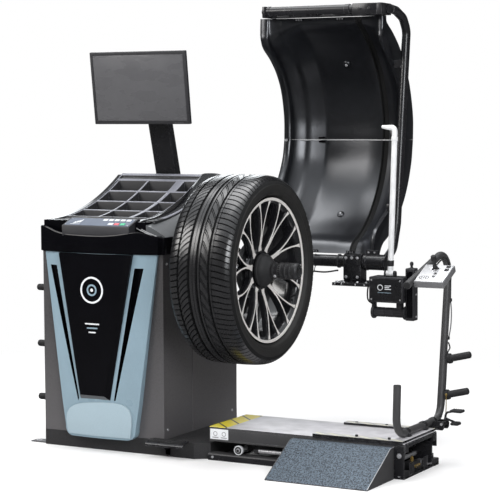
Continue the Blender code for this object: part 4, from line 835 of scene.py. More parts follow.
def front_trim():
    low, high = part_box("front_trim")
    side, top = high.x, high.z
    outline = [(-side, top), (-0.170, 0.19), *arc((-0.1195, low.z + 0.034), 0.034, 172, 270, 9),
               *arc((0.127, low.z + 0.034), 0.034, 270, 368, 9), (0.1765, 0.19), (side, top)]
    body = carved(prism(outline, "Y", -0.36, -0.2803), trim_bow(0.0), operation="INTERSECT")
    rounded(body, 0.009, 4, 40)
    slots = bmesh.new()
    for line in ([(-0.2235, 0.704), (-0.1905, 0.704), (-0.0845, 0.2), (-0.0895, 0.19)],
                 [(0.1635, 0.704), (0.1995, 0.704), (0.08, 0.2), (0.073, 0.2)]):
        mesh = bpy.data.meshes.new("slot")
        prism(line, "Y", -0.36, -0.2895, 0.0012).to_mesh(mesh)
        slots.from_mesh(mesh)
        bpy.data.meshes.remove(mesh)
    body = carved(body, slots)

    def inside_slot(centre, normal):
        share = (0.704 - centre.z) / 0.509
        left = abs(centre.x + 0.207 - 0.12 * share) < 0.0185 - 0.0135 * share
        right = abs(centre.x - 0.1815 + 0.105 * share) < 0.0195 - 0.0135 * share
        sunk = centre.y > bowed(centre.x, 0.26, -0.287, 0.036) + 0.0015
        return GLOSS if sunk and 0.185 < centre.z < 0.706 and (left or right) and centre.y < -0.285 else None
    form = Form().take(body, TRIM, inside_slot)
    boss = [(-0.113, 0.0), (-0.1425, 0.075), (-0.148, 0.112), (-0.144, 0.138), (-0.13, 0.158), (-0.104, 0.173),
            (-0.07, 0.182), (-0.03, 0.187), (0.02, 0.1905), (0.066, 0.192), (0.1, 0.189), (0.124, 0.181),
            (0.139, 0.167), (0.147, 0.148), (0.148, 0.12), (0.136, 0.0)]
    raised = carved(prism(boss, "Y", -0.36, -0.30), trim_bow(0.0055), operation="INTERSECT")
    raised = carved(raised, block((-0.3, -0.4, -0.1), (0.3, -0.2, low.z + 0.008), 0.0))
    form.take(rounded(raised, 0.0035, 3, 40), TRIM_LIGHT)
    form.piece("front_trim_shield", "base", ["front_trim"], "trim_plastic")


def centre_panel():
    """The proud V-shaped panel: dark flanks, a paler foot facet and a plain round badge."""
    low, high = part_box("front_centre_panel")
    foot = [(-0.1655, 0.754), (-0.0755, 0.2008), (0.0575, 0.2008), (0.1595, 0.754)]
    shoulder = [(-0.1635, 0.7535), (-0.0745, 0.205), (0.0495, 0.205), (0.1505, 0.7535)]
    face = [(-0.1605, 0.753), (-0.071, 0.2155), (0.0385, 0.2155), (0.1415, 0.753)]
    loops = [[(x, y, z) for x, z in line] for line, y in
             ((foot, -0.2803), (foot, -0.3225), (shoulder, -0.3255), (face, low.y), )]
    form = Form()

    def facet(centre, normal):
        return SHELL_GREY if normal.z < -0.15 and centre.z < 0.23 and normal.y < -0.1 else None
    form.take(rounded(looped(loops), 0.0012, 2, 12), GLOSS, facet)
    for k, (start, end, y, material) in enumerate(((0.044, 0.0505, -0.0012, PALE), (0.016, 0.022, -0.0012, TRIM))):
        ring = [(y, end), (y + 0.0004, end + 0.0004), (0.0, end + 0.0004), (0.0, start - 0.0004),
                (y + 0.0004, start - 0.0004), (y, start)]
        form.take(turned(ring, (-0.012, low.y, 0.617), "Y", 72, ring=True), material)
    form.take(turned([(-0.0014, 0.0), (-0.0014, 0.006), (0.0, 0.0066), (0.0, 0.0)], (-0.012, low.y, 0.617), "Y", 40), PALE)
    for k in range(3):
        z = 0.486 - 0.016 * k
        width = 0.032 - 0.008 * k
        form.take(block((-0.012 - width, low.y - 0.0008, z), (-0.012 + width, low.y + 0.0005, z + 0.005), 0.0006),
                  PALE if k != 1 else TRIM)
    form.piece("front_centre_v_panel", "base", ["front_centre_panel"], "gloss_black")


# ---------------------------------------------------------------- console
def sweep(y):
    """Height of the tray's top edge, which climbs towards the rear."""
    return 0.874 + 0.606 * max(y + 0.274, 0.0) ** 2.14


def between(table, value):
    """Straight-line reading of a table of (key, result) pairs."""
    for (a, first), (b, second) in zip(table, table[1:]):
        if value <= b:
            share = max(0.0, (value - a) / (b - a))
            return first + (second - first) * share
    return table[-1][1]


LIP = ((-0.285, 0.853), (-0.244, 0.853), (-0.22, 0.8455), (-0.197, 0.837), (-0.165, 0.830), (-0.127, 0.826),
       (-0.034, 0.8235), (0.03, 0.8243), (0.058, 0.826), (0.09, 0.8292), (0.126, 0.8345), (0.152, 0.8385), (0.176, 0.841),
       (0.2, 0.8375), (0.238, 0.8285), (0.285, 0.820))
SHELF = 0.8185


def console_band(form):
    """The wrap-round band with its rolled lip, swept round the plan from the left rear to the right rear."""
    low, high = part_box("console_cover")
    w, back = high.x, high.y
    plan = [(-w, back - 0.56 * i / 16) for i in range(16)] + arc((-w + 0.014, -0.272), 0.014, 180, 262, 6)
    plan += [(x / 100, bowed(x / 100, 0.268, -0.298, 0.0275)) for x in range(-26, 27)]
    plan += arc((w - 0.014, -0.272), 0.014, 278, 360, 6) + [(w, -0.28 + 0.56 * i / 16) for i in range(1, 17)]
    loops = []
    for i, (x, y) in enumerate(plan):
        before, after = plan[max(i - 1, 0)], plan[min(i + 1, len(plan) - 1)]
        heading = Vector((after[0] - before[0], after[1] - before[1], 0)).normalized()
        inward = Vector((-heading.y, heading.x, 0))
        lip = between(LIP, x)
        shelf = min(SHELF, lip - 0.004)
        face = ((0.0015, 0.7562), (0.0, 0.7577), (0.0, lip - 0.0065), (0.0006, lip - 0.0032), (0.0022, lip - 0.0009),
                (0.0045, lip), (0.0066, lip - 0.001), (0.0078, lip - 0.003), (0.0085, shelf), (0.022, shelf - 0.001),
                (0.022, 0.7562))
        loops.append([Vector((x, y, 0)) + inward * inset + Vector((0, 0, z)) for inset, z in face])
    band = carved(looped(loops), rod((0.2, 0.06, 0.8), (0.3, 0.06, 0.8), 0.0192, 40))
    form.take(band, GLOSS)


SWOOSH_INNER = ((-0.272, 0.147), (-0.224, 0.1255), (-0.15, 0.1275), (-0.066, 0.1285), (0.035, 0.126), (0.26, 0.126))
SWOOSH_OUTER = ((-0.272, 0.158), (-0.235, 0.163), (-0.15, 0.178), (-0.095, 0.184), (-0.049, 0.186), (0.0, 0.19),
                (0.14, 0.202), (0.26, 0.212))


def console():
    low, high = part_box("console_cover")
    form = Form()
    console_band(form)
    shelf = [(-0.262, 0.25), (-0.262, -0.28), (-0.2, -0.299), (-0.1, -0.308), (0.1, -0.308), (0.2, -0.299),
             (0.262, -0.28), (0.262, 0.25)]
    hole = rod((0.15, 0.06, 0.8), (0.3, 0.06, 0.8), 0.0192, 40)
    form.take(carved(prism(shelf, "Z", 0.79, SHELF - 0.0006, 0.001), hole), GLOSS)
    steps = 26
    ys = [-0.274 + 0.529 * i / steps for i in range(steps + 1)]
    side = [(y, sweep(y)) for y in ys] + [(0.2785, 1.0285), (0.2785, 0.7562), (0.255, 0.7562), (0.255, 0.8)]
    side += [(-0.2735, 0.8)]
    shell = prism(side, "X", -0.268, 0.192, 0.0025, 2, 30)
    pocket = block((-0.2523, -0.2253, 0.70), (0.2, 0.2623, 1.1), 0.0)
    keypad_room = block((-0.158, -0.4, 0.7), (0.148, -0.2335, 1.0), 0.0)
    form.take(carved(shell, pocket, keypad_room), GLOSS)
    ribbon, flank = [], []
    for y in [-0.272 + 0.5335 * i / 40 for i in range(41)]:
        inner, outer, top = between(SWOOSH_INNER, y), between(SWOOSH_OUTER, y), sweep(y)
        reach = 0.2785 - outer
        rise = 0.0075 * min(1.0, (y + 0.272) / 0.05)
        ribbon.append([(inner + (outer - inner) * s, y, top + rise * (0.35 + 0.65 * (1 - (2 * s - 1) ** 4)) - 0.0006)
                       for s in (0.0, 0.06, 0.16, 0.35, 0.65, 0.84, 0.94, 1.0)])
        edge = between(((-0.272, 0.8215), (-0.1, 0.823), (0.1, 0.83), (0.262, 0.838)), y)
        flank.append([(outer + reach * s, y, top + (edge - top) * (0.22 * s + 0.78 * s ** 1.5) - 0.0015 * (s == 0))
                      for s in (0.0, 0.04, 0.12, 0.25, 0.4, 0.55, 0.7, 0.85, 0.95, 1.0)])
    form.take(carved(slab(ribbon, 0.84), block((-0.2523, -0.2253, 0.7), (0.1243, 0.2623, 1.2), 0.0)), GLOSS)
    form.take(slab(flank, 0.8192), SHELL_GREY)
    # Painted highlights: two thin silver lines along the edges of the crease.
    crease = [(0.153, -0.2755, 0.853), (0.17, -0.2835, 0.8475), (0.2, -0.2905, 0.8375), (0.24, -0.2925, 0.8245)]
    for shift in (0.0, 0.006):
        line = [Vector(point) + Vector((shift, shift * 1.6, 0.0)) for point in crease]
        form.take(swept(smooth_path(line, 6), 0.0011, 10), SILVER_AND_HIGHLIGHT)
    nook = [(0.145, -0.2765), (0.168, -0.287), (0.2, -0.2955), (0.262, -0.2835), (0.262, -0.26), (0.145, -0.26)]
    form.take(prism(nook, "Z", SHELF - 0.002, 0.8245, 0.0015), GLOSS)
    form.piece("console_moulding", "base", ["console_cover"], "gloss_black")


def tray():
    low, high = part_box("weight_tray")

    def slice_of(front, rear, top, bottom, steps=10):
        ys = [front + (rear - front) * i / steps for i in range(steps + 1)]
        return [(y, sweep(y) + top) for y in ys] + [(y, sweep(y) + bottom) for y in reversed(ys)]
    body = prism(slice_of(low.y, high.y, 0.002, -0.05, 26), "X", low.x, 0.2, 0.0)
    pockets = bmesh.new()
    rows = ((-0.145, -0.049), (-0.0405, 0.0498), (0.0583, 0.1377), (0.1463, 0.216))
    columns = ((-0.2375, -0.1045), (-0.0955, 0.0355), (0.0520, 0.1235))
    for k, (front, rear) in enumerate(rows):
        for left, right in columns if k < 3 else ((-0.2375, -0.1045), (-0.0955, 0.0335), (0.0715, 0.1235)):
            pocket = prism(slice_of(front, rear, 0.05, -0.044, 6), "X", left, right, 0.006, 3, 50)
            mesh = bpy.data.meshes.new("pocket")
            pocket.to_mesh(mesh)
            pockets.from_mesh(mesh)
            bpy.data.meshes.remove(mesh)
    body = carved(body, pockets)
    channel = prism(slice_of(0.228, 0.25, 0.05, -0.006), "X", -0.246, 0.19, 0.002)
    gutter = prism(slice_of(-0.15, 0.22, 0.05, -0.005), "X", -0.2475, -0.2425, 0.0)
    apron = prism(slice_of(-0.2215, -0.1535, 0.05, -0.004), "X", -0.246, 0.12, 0.002)
    body = carved(body, channel, gutter, apron)
    edges = [edge for edge in body.edges if edge.is_manifold and edge.calc_face_angle(0.0) > math.radians(50)
             and all(vert.co.z > sweep(vert.co.y) - 0.0005 for vert in edge.verts)]
    bmesh.ops.bevel(body, geom=edges, offset=0.0012, segments=2, profile=0.5, affect="EDGES", clamp_overlap=True)

    # Painted highlight: paler colour on the upward faces of the rib crests, and on the rounded faces of the outer rim.
    def crest_highlight(centre, normal):
        crest = centre.z > sweep(centre.y) - 0.0016 and normal.z > 0.25
        return TRAY_RIB_HIGHLIGHT if crest and centre.y > -0.1505 and (centre.x > -0.2465 or normal.z < 0.75) else None
    Form().take(body, TRAY, crest_highlight).piece("weight_tray_moulding", "base", ["weight_tray"], "tray_plastic", 40)


def keypad():
    low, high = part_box("keypad_panel")
    side = [(low.y + 0.001, SHELF + 0.0002), (low.y, 0.8555), (low.y + 0.0012, 0.8582), (-0.2535, high.z - 0.001),
            (-0.2515, high.z), (high.y - 0.001, high.z), (high.y, high.z - 0.001), (high.y, SHELF + 0.0002)]
    form = Form().take(prism(side, "X", low.x, high.x, 0.0014, 2, 40), TEXTURED)
    base, slope = Vector((0, low.y + 0.0012, 0.8582)), Vector((0, -0.2535 - low.y - 0.0012, high.z - 0.001 - 0.8582))
    length = slope.length
    slope.normalize()
    outward = Vector((0, -slope.z, slope.y))

    def plate(left, right, start, end, depth, material, bevel=0.0008, lean=0.0):
        corners = []
        for x, v in ((left, start), (right, start), (right + lean, end), (left + lean, end)):
            corners.append(base + Vector((x, 0, 0)) + slope * v)
        form.take(rounded(looped([[point - outward * 0.001 for point in corners],
                                  [point + outward * depth for point in corners]]), bevel, 2), material)
    plate(low.x + 0.006, high.x - 0.006, 0.004, length - 0.003, 0.0007, LABEL)
    start, pitch = 0.002, 0.0262
    for k in range(5):
        plate(start + pitch * k, start + pitch * k + 0.0185, length - 0.0215, length - 0.0085, 0.002, WHITE_KEY)
    for k, material in enumerate((WHITE_KEY, RED_KEY, GREEN_KEY)):
        left = 0.0435 + 0.0265 * k
        plate(left, left + 0.02, 0.0125, 0.0265, 0.0022, material)
    for k in range(4):
        plate(-0.118 + 0.008 * k, -0.1135 + 0.008 * k, 0.018 + 0.003 * k, 0.034 + 0.006 * k, 0.0013, WHITE_KEY,
              0.0004, 0.004)
    plate(-0.126, -0.082, 0.0125, 0.0145, 0.0012, WHITE_KEY, 0.0004)
    for x, v in ((low.x + 0.011, 0.009), (high.x - 0.011, 0.009), (low.x + 0.011, length - 0.008),
                 (high.x - 0.011, length - 0.008)):
        cap_screw(form, base + Vector((x, 0, 0)) + slope * v + outward * 0.0006, outward, 0.0024)
    form.piece("keypad_unit", "base", ["keypad_panel"], "dark_plastic")


# ---------------------------------------------------------------- monitor
def monitor():
    low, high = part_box("monitor_housing")
    foot, head = Vector((0, 0.085, low.z)), Vector((0, low.y, 1.522))
    rise = (head - foot).normalized()
    back = Vector((0, rise.z, -rise.y))
    height = (head - foot).length
    left, right = low.x, high.x

    def slab_at(x0, x1, v0, v1, d0, d1, bevel, segments=3):
        """A rounded block in the monitor's own frame: across, up the screen, depth behind its front."""
        bm = block((x0, v0, d0), (x1, v1, d1), bevel, segments)
        turn = Matrix(((1, 0, 0), (0, rise.y, back.y), (0, rise.z, back.z)))
        for vert in bm.verts:
            vert.co = foot + turn @ vert.co
        return bm
    form = Form()
    frame_body = carved(slab_at(left, right, 0.0, height, 0.0, 0.015, 0.003),
                        slab_at(left + 0.0125, right - 0.0125, 0.0128, height - 0.0125, -0.01, 0.0038, 0.0004, 1))
    form.take(frame_body, TEXTURED)
    form.take(slab_at(left + 0.04, right - 0.04, 0.035, height - 0.035, 0.013, 0.0415, 0.012), TEXTURED)
    for k in range(11):
        x = left + 0.09 + 0.024 * k
        form.take(slab_at(x, x + 0.014, height - 0.085, height - 0.078, 0.038, 0.0417, 0.0008, 1), GLOSS)
    y, z = 0.137, 1.385
    form.take(slab_at(-0.094, 0.006, 0.098, 0.198, 0.04, 0.0455, 0.003), BLACK)
    for x in (-0.0815, -0.0065):
        for v in (0.1105, 0.1855):
            spot = foot + Vector((x, 0, 0)) + rise * v + back * 0.0453
            cap_screw(form, spot, back, 0.0035)
    arm = prism([(0.103, z - 0.0135), (y, z - 0.0105), (y, z + 0.0105), (0.1, z + 0.0135)], "X", -0.06, -0.028, 0.002)
    form.take(arm, BLACK)
    form.take(rod((-0.06, y, z), (-0.028, y, z), 0.0117, 32, 0.001), BLACK)
    for k in range(4):
        x = right - 0.035 - 0.011 * k
        form.take(slab_at(x, x + 0.006, 0.0045, 0.0065, -0.0006, 0.001, 0.0003, 1), GREY_CASE)
    form.piece("monitor_case", "monitor", ["monitor_housing"], "dark_plastic")
    glass = slab_at(left + 0.0131, right - 0.0131, 0.0134, height - 0.0131, 0.0012, 0.0034, 0.0005, 2)
    Form().take(glass, SCREEN).piece("monitor_glass", "monitor", ["monitor_screen"], "screen")


def monitor_stand():
    """The folded post: two flanges and a web, bolted to the cabinet's back."""
    low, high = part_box("monitor_post")
    outline = [(0.2836, 0.78), (0.3236, 0.78), (0.3236, 1.03), (0.212, 1.42), (0.174, 1.41), (0.2836, 1.02)]
    channel = [(0.2866, 0.77), (0.34, 0.77), (0.34, 1.02), (0.225, 1.43), (0.1775, 1.4075), (0.2866, 1.02)]
    body = carved(prism(outline, "X", low.x - 0.0215, high.x, 0.0), prism(channel, "X", low.x - 0.0185, high.x - 0.003))
    form = Form().take(rounded(body, 0.001, 2, 50), BLACK)
    y, z = 0.137, 1.385
    ear = [(y - 0.012, z - 0.014), (0.2, z - 0.014), (0.19, z + 0.02), (y - 0.012, z + 0.014), (y - 0.0145, z)]
    for left in (-0.07, -0.026):
        form.take(prism(ear, "X", left, left + 0.008, 0.0014), BLACK)
    for left in (-0.0765, -0.018):
        form.take(rod((left, y, z), (left + 0.0065, y, z), 0.0085, 32, 0.0015), CASTING)
        cap_screw(form, (left if left < -0.05 else left + 0.0065, y, z), (-1 if left < -0.05 else 1, 0, 0), 0.0045)
    for z in (0.82, 0.93):
        for x in (-0.062, -0.026):
            hex_bolt(form, (x, 0.2866, z), (0, 1, 0), 0.0085)
    cable = [(-0.044, 0.235, 1.25), (-0.044, 0.277, 1.12), (-0.044, 0.297, 1.0), (-0.044, 0.302, 0.86), (-0.044, 0.296, 0.8)]
    form.take(swept(smooth_path(cable, 8), 0.0035, 12), RUBBER)
    form.piece("monitor_stand", "base", ["monitor_post"], "black_paint")


# ---------------------------------------------------------------- hood
# Stations down the hood, as (Y, Z) at the left rim, the right rim and the skin.
HOOD_UPPER = (((0.4365, 1.655), (0.4365, 1.655), (0.474, 1.655)), ((0.4335, 1.6), (0.4345, 1.598), (0.4775, 1.636)),
              ((0.4335, 1.567), (0.4355, 1.563), (0.497, 1.623)), ((0.452, 1.534), (0.468, 1.528), (0.540, 1.5966)),
              ((0.512, 1.490), (0.526, 1.477), (0.598, 1.5488)), ((0.568, 1.433), (0.584, 1.420), (0.6527, 1.486)),
              ((0.609, 1.36), (0.632, 1.352), (0.706, 1.3918)), ((0.632, 1.26), (0.654, 1.258), (0.7414, 1.268)),
              ((0.6335, 1.1684), (0.6568, 1.1684), (0.7426, 1.1684)))
HOOD_LOWER = (((0.6335, 1.1676), (0.6568, 1.1676), (0.7426, 1.1676)), ((0.616, 1.091), (0.643, 1.095), (0.7231, 1.0652)),
              ((0.569, 1.005), (0.598, 0.999), (0.6714, 0.9517)), ((0.498, 0.928), (0.530, 0.912), (0.592, 0.8554)),
              ((0.426, 0.866), (0.440, 0.858), (0.505, 0.791)), ((0.378, 0.815), (0.374, 0.812), (0.4451, 0.7618)),
              ((0.3505, 0.7245), (0.3505, 0.7245), (0.412, 0.7245)))
# The hood's section: X, and the share of the way from the rim to the skin. It is a closed loop.
HOOD_SECTION = ((0.3365, 0.17), (0.3345, 0.08), (0.3295, 0.025), (0.3200, 0.0), (0.3105, 0.004), (0.3035, 0.035),
                (0.2998, 0.10), (0.2990, 0.20), (0.3005, 0.285), (0.326, 0.36), (0.372, 0.595), (0.39, 0.66),
                (0.432, 0.955), (0.4435, 0.992), (0.463, 1.0), (0.57, 1.0), (0.70, 1.0), (0.815, 1.0), (0.832, 0.98),
                (0.839, 0.93), (0.8398, 0.5), (0.8398, 0.08), (0.8375, 0.02), (0.831, 0.0), (0.8235, 0.015),
                (0.8195, 0.07), (0.8155, 0.12), (0.797, 0.50), (0.768, 0.79), (0.750, 0.875), (0.7345, 0.895),
                (0.7315, 0.908), (0.7290, 0.972), (0.7120, 0.972), (0.7090, 0.908), (0.7060, 0.895), (0.64, 0.903),
                (0.57, 0.906), (0.50, 0.906), (0.4665, 0.904), (0.4575, 0.892), (0.447, 0.865), (0.402, 0.60),
                (0.3915, 0.56), (0.3835, 0.535), (0.3725, 0.515), (0.349, 0.30), (0.341, 0.245))


def hood_lines(stations, steps=7):
    """Three soft lines down the hood: left rim, right rim and skin."""
    return [smooth_path([(0, *station[k]) for station in stations], steps) for k in range(3)]


def hood_shell(stations):
    low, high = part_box("hood_shell_upper")
    loops = []
    for left, right, skin_point in zip(*hood_lines(stations)):
        loop = []
        for x, share in HOOD_SECTION:
            across = (x - low.x) / (high.x - low.x)
            rim_point = left.lerp(right, max(0.0, min(1.0, across)))
            spot = rim_point.lerp(skin_point, share)
            loop.append((x, spot.y, spot.z))
        loops.append(loop)
    for k, height in ((0, stations[0][0][1]), (-1, stations[-1][0][1])):
        loops[k] = [(x, y, height) for x, y, z in loops[k]]
    return looped(loops)


def small_clip(form, x, y, z, tilt=0.0):
    """A connector strip with three round pins."""
    form.take(block((x - 0.017, y - 0.004, z - 0.0045), (x + 0.017, y + 0.004, z + 0.0045), 0.0015), GLOSS)
    for k in (-1, 0, 1):
        form.take(rod((x + 0.0105 * k, y - 0.0062, z - 0.001), (x + 0.0105 * k, y, z - 0.001), 0.0036, 18, 0.0008),
                  GREY_CASE)


def boss(form, at, out):
    """A shallow moulded boss with a screw, on the inside of the skin."""
    at, out = Vector(at), Vector(out).normalized()
    bm = turned([(-0.006, 0.0), (-0.006, 0.016), (0.0005, 0.0135), (0.002, 0.011), (0.002, 0.0)], (0, 0, 0), "Z", 36)
    bm.transform(Matrix.Translation(at) @ UP.rotation_difference(out).to_matrix().to_4x4())
    form.take(bm, HOOD)
    cap_screw(form, at + out * 0.002, out, 0.0052)


def hood():
    # Painted shade: the faces inside the skin's groove take the dark groove colour.
    def shade_in_groove(centre, normal):
        return GROOVE_DARK_SHADE if 0.7065 < centre.x < 0.734 and normal.y < 0.3 else None
    upper = Form().take(hood_shell(HOOD_UPPER), HOOD, shade_in_groove)
    lower = Form().take(hood_shell(HOOD_LOWER), HOOD, shade_in_groove)
    centre = Vector((0, 0.266, 1.205))
    for form, spot in ((upper, (0.586, 0.6440, 1.4720)), (lower, (0.585, 0.5880, 0.8700))):
        inward = centre - Vector(spot)
        boss(form, spot, (0, inward.y, inward.z))
    # Painted highlight: a thin silver line along the inner edge of the seam.
    seam_highlight = [(x, between(((0.34, 0.672), (0.3905, 0.691), (0.462, 0.7345), (0.70, 0.7335), (0.75, 0.7255), (0.82, 0.6625)),
                        x) - 0.0035, 1.1655) for x in (0.339, 0.36, 0.39, 0.42, 0.462, 0.52, 0.6, 0.70, 0.75, 0.78, 0.817)]
    lower.take(swept(seam_highlight, 0.0016, 12), SILVER_AND_HIGHLIGHT)
    for form, z in ((upper, 1.1745), (lower, 1.1605)):
        form.take(block((0.425, 0.712, z - 0.005), (0.456, 0.726, z + 0.005), 0.001), GLOSS)
    lower.take(rod((0.3195, 0.6265, 1.166), (0.3195, 0.638, 1.166), 0.0075, 24, 0.001), CASTING)
    cap_screw(lower, (0.3195, 0.6265, 1.166), (0, -1, 0), 0.0058)
    for x in (0.478, 0.658):
        small_clip(upper, x, 0.4345, 1.6475)
    for x in (0.585, 0.742):
        small_clip(lower, x, 0.3495, 0.7375)
    upper.piece("hood_upper_moulding", "hood", ["hood_shell_upper"], "hood_plastic", 40)
    lower.piece("hood_lower_moulding", "hood", ["hood_shell_lower"], "hood_plastic", 40)


def hood_frame():
    low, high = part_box("hood_frame_tube")
    x = (low.x + high.x) / 2
    path = bent([(x, 0.3905, 0.7165), (x, 0.445, 0.7465), (x, 0.482, 0.845), (x, 0.5735, 1.60), (x, 0.538, 1.648), (x, 0.47, 1.673),
                 (x, 0.42, 1.678)], (0.05, 0.06, 0.055, 0.05, 0.03), 10)
    form = Form().take(swept(path, 0.0172, 32), BLACK)
    for height, reach in ((1.19, 0.522), (0.905, 0.488), (1.47, 0.557)):
        form.take(block((0.838, reach - 0.012, height - 0.015), (0.87, reach + 0.02, height + 0.015), 0.002), BLACK)
        hex_bolt(form, (x, reach - 0.0165, height), (0, -1, 0), 0.0062, BLACK)
    form.piece("hood_frame_bow", "hood", ["hood_frame_tube"], "black_paint")

    low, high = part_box("hood_top_bar")
    y, z = 0.395, 1.68
    form = Form().take(turned([(low.x, 0.0), (low.x, 0.0105), (low.x + 0.001, 0.0115), (low.x + 0.024, 0.0115),
                               (low.x + 0.024, 0.0195), (low.x + 0.0255, 0.021), (low.x + 0.036, 0.021),
                               (low.x + 0.0375, 0.0188), (0.70, 0.0188), (0.701, 0.0202), (0.72, 0.0202), (0.721, 0.0165),
                               (0.80, 0.0165), (0.8625, 0.0165), (0.8625, 0.0)], (0, y, z), "X", 48), BLACK)
    for left, right in ((0.3425, 0.3585), (0.7375, 0.862)):
        form.take(block((left, y - 0.022, 1.6555), (right, 0.468, z + 0.0205), 0.0028), BLACK)
    form.take(block((0.842, y - 0.0232, 1.6565), (0.8632, y + 0.02, z + 0.0208), 0.002), CASTING)
    form.take(block((0.36, y + 0.004, 1.6553), (0.736, 0.452, 1.6685), 0.0015), BLACK)
    for left in (0.40, 0.60):
        form.take(block((left, y - 0.004, 1.6553), (left + 0.05, 0.455, 1.6665), 0.0015), CASTING)
    for x in (0.77, 0.81):
        cap_screw(form, (x, y - 0.022, z), (0, -1, 0), 0.005, CASTING)
    form.piece("hood_top_rail", "hood", ["hood_top_bar"], "black_paint")

    for name, closed in (("hood_sleeve_left", False), ("hood_sleeve_right", True)):
        low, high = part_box(name)
        a, b = low.x, high.x
        if closed:
            profile = [(0.8625, 0.0), (0.8625, 0.0236), (a, 0.0236), (a, 0.031), (a + 0.0015, 0.0328), (a + 0.012, 0.0328),
                       (a + 0.0135, 0.0305), (b - 0.0145, 0.0305), (b - 0.013, 0.0328), (b - 0.003, 0.0328),
                       (b - 0.0008, 0.0305), (b, 0.027), (b, 0.0)]
            body = turned(profile, (0, 0.36, 0.70), "X", 56)
        else:
            profile = [(a, 0.0236), (a, 0.031), (a + 0.0015, 0.0328), (a + 0.012, 0.0328), (a + 0.0135, 0.0305),
                       (b - 0.0135, 0.0305), (b - 0.012, 0.0328), (b - 0.0015, 0.0328), (b, 0.031), (b, 0.0236)]
            body = turned(profile, (0, 0.36, 0.70), "X", 56, ring=True)
        form = Form().take(body, BLACK)
        form.take(block((a + 0.006, 0.3495, 0.728), (a + 0.056, 0.3745, high.z - 0.0002), 0.0018), BLACK)
        for k in (0.018, 0.044):
            hex_bolt(form, (a + k, 0.3495, 0.7385), (0, -1, 0), 0.0055)
        form.piece(name + "_collar", "hood", [name], "black_paint")


def hood_pivot():
    """The fixed bar behind the cabinet, its wall bracket, and the cable tied under it."""
    low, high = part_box("hood_pivot_bar")
    axis = (0, 0.36, 0.70)
    bar = [(low.x, 0.0), (low.x, 0.021), (low.x + 0.002, 0.023), (high.x - 0.002, 0.023), (high.x, 0.021), (high.x, 0.0)]
    form = Form().take(turned(bar, axis, "X", 56), BLACK)
    for x in (0.33, 0.42, 0.6895):
        ring = [(x - 0.004, 0.0228), (x - 0.004, 0.0262), (x - 0.003, 0.0272), (x + 0.003, 0.0272), (x + 0.004, 0.0262),
                (x + 0.004, 0.0228)]
        form.take(turned(ring, axis, "X", 48, ring=True), CASTING)
    path = smooth_path([(0.262, 0.33, 0.684), (0.33, 0.342, 0.662), (0.42, 0.344, 0.656), (0.49, 0.342, 0.667), (0.56, 0.345, 0.659),
                        (0.63, 0.346, 0.655), (0.69, 0.347, 0.664)], 7)
    form.take(swept(path, 0.0032, 12), RUBBER)
    for x in (0.47, 0.585):
        ring = [(x - 0.0015, 0.0232), (x - 0.0015, 0.0246), (x + 0.0015, 0.0246), (x + 0.0015, 0.0232)]
        form.take(turned(ring, axis, "X", 40, ring=True), GREY_CASE)
        form.take(swept([(x, 0.3585, 0.6762), (x, 0.352, 0.668), (x, 0.349, 0.6575), (x, 0.3445, 0.6525)], 0.0018, 8), RUBBER)
    form.piece("hood_pivot_rail", "base", ["hood_pivot_bar"], "black_paint")

    low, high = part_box("hood_pivot_bracket")
    wall = low.y
    form = Form().take(block((low.x, wall, low.z), (high.x, wall + 0.01, high.z), 0.0022), BLACK)
    for left in (0.045, 0.215):
        ear = [(wall + 0.005, 0.662), (0.34, 0.662), (0.372, 0.664), (0.393, 0.678), (0.4, 0.7), (0.393, 0.722), (0.372, 0.736),
               (0.34, 0.738), (wall + 0.005, 0.738)]
        plate = prism(ear, "X", left, left + 0.02, 0.0015)
        form.take(carved(plate, rod((0.0, 0.36, 0.70), (0.3, 0.36, 0.70), 0.0233, 48)), BLACK)
    for x in (0.085, 0.14, 0.195):
        for z in (0.648, 0.732):
            hex_bolt(form, (x, wall + 0.01, z), (0, 1, 0), 0.0085)
    form.piece("hood_pivot_console", "base", ["hood_pivot_bracket"], "black_paint")


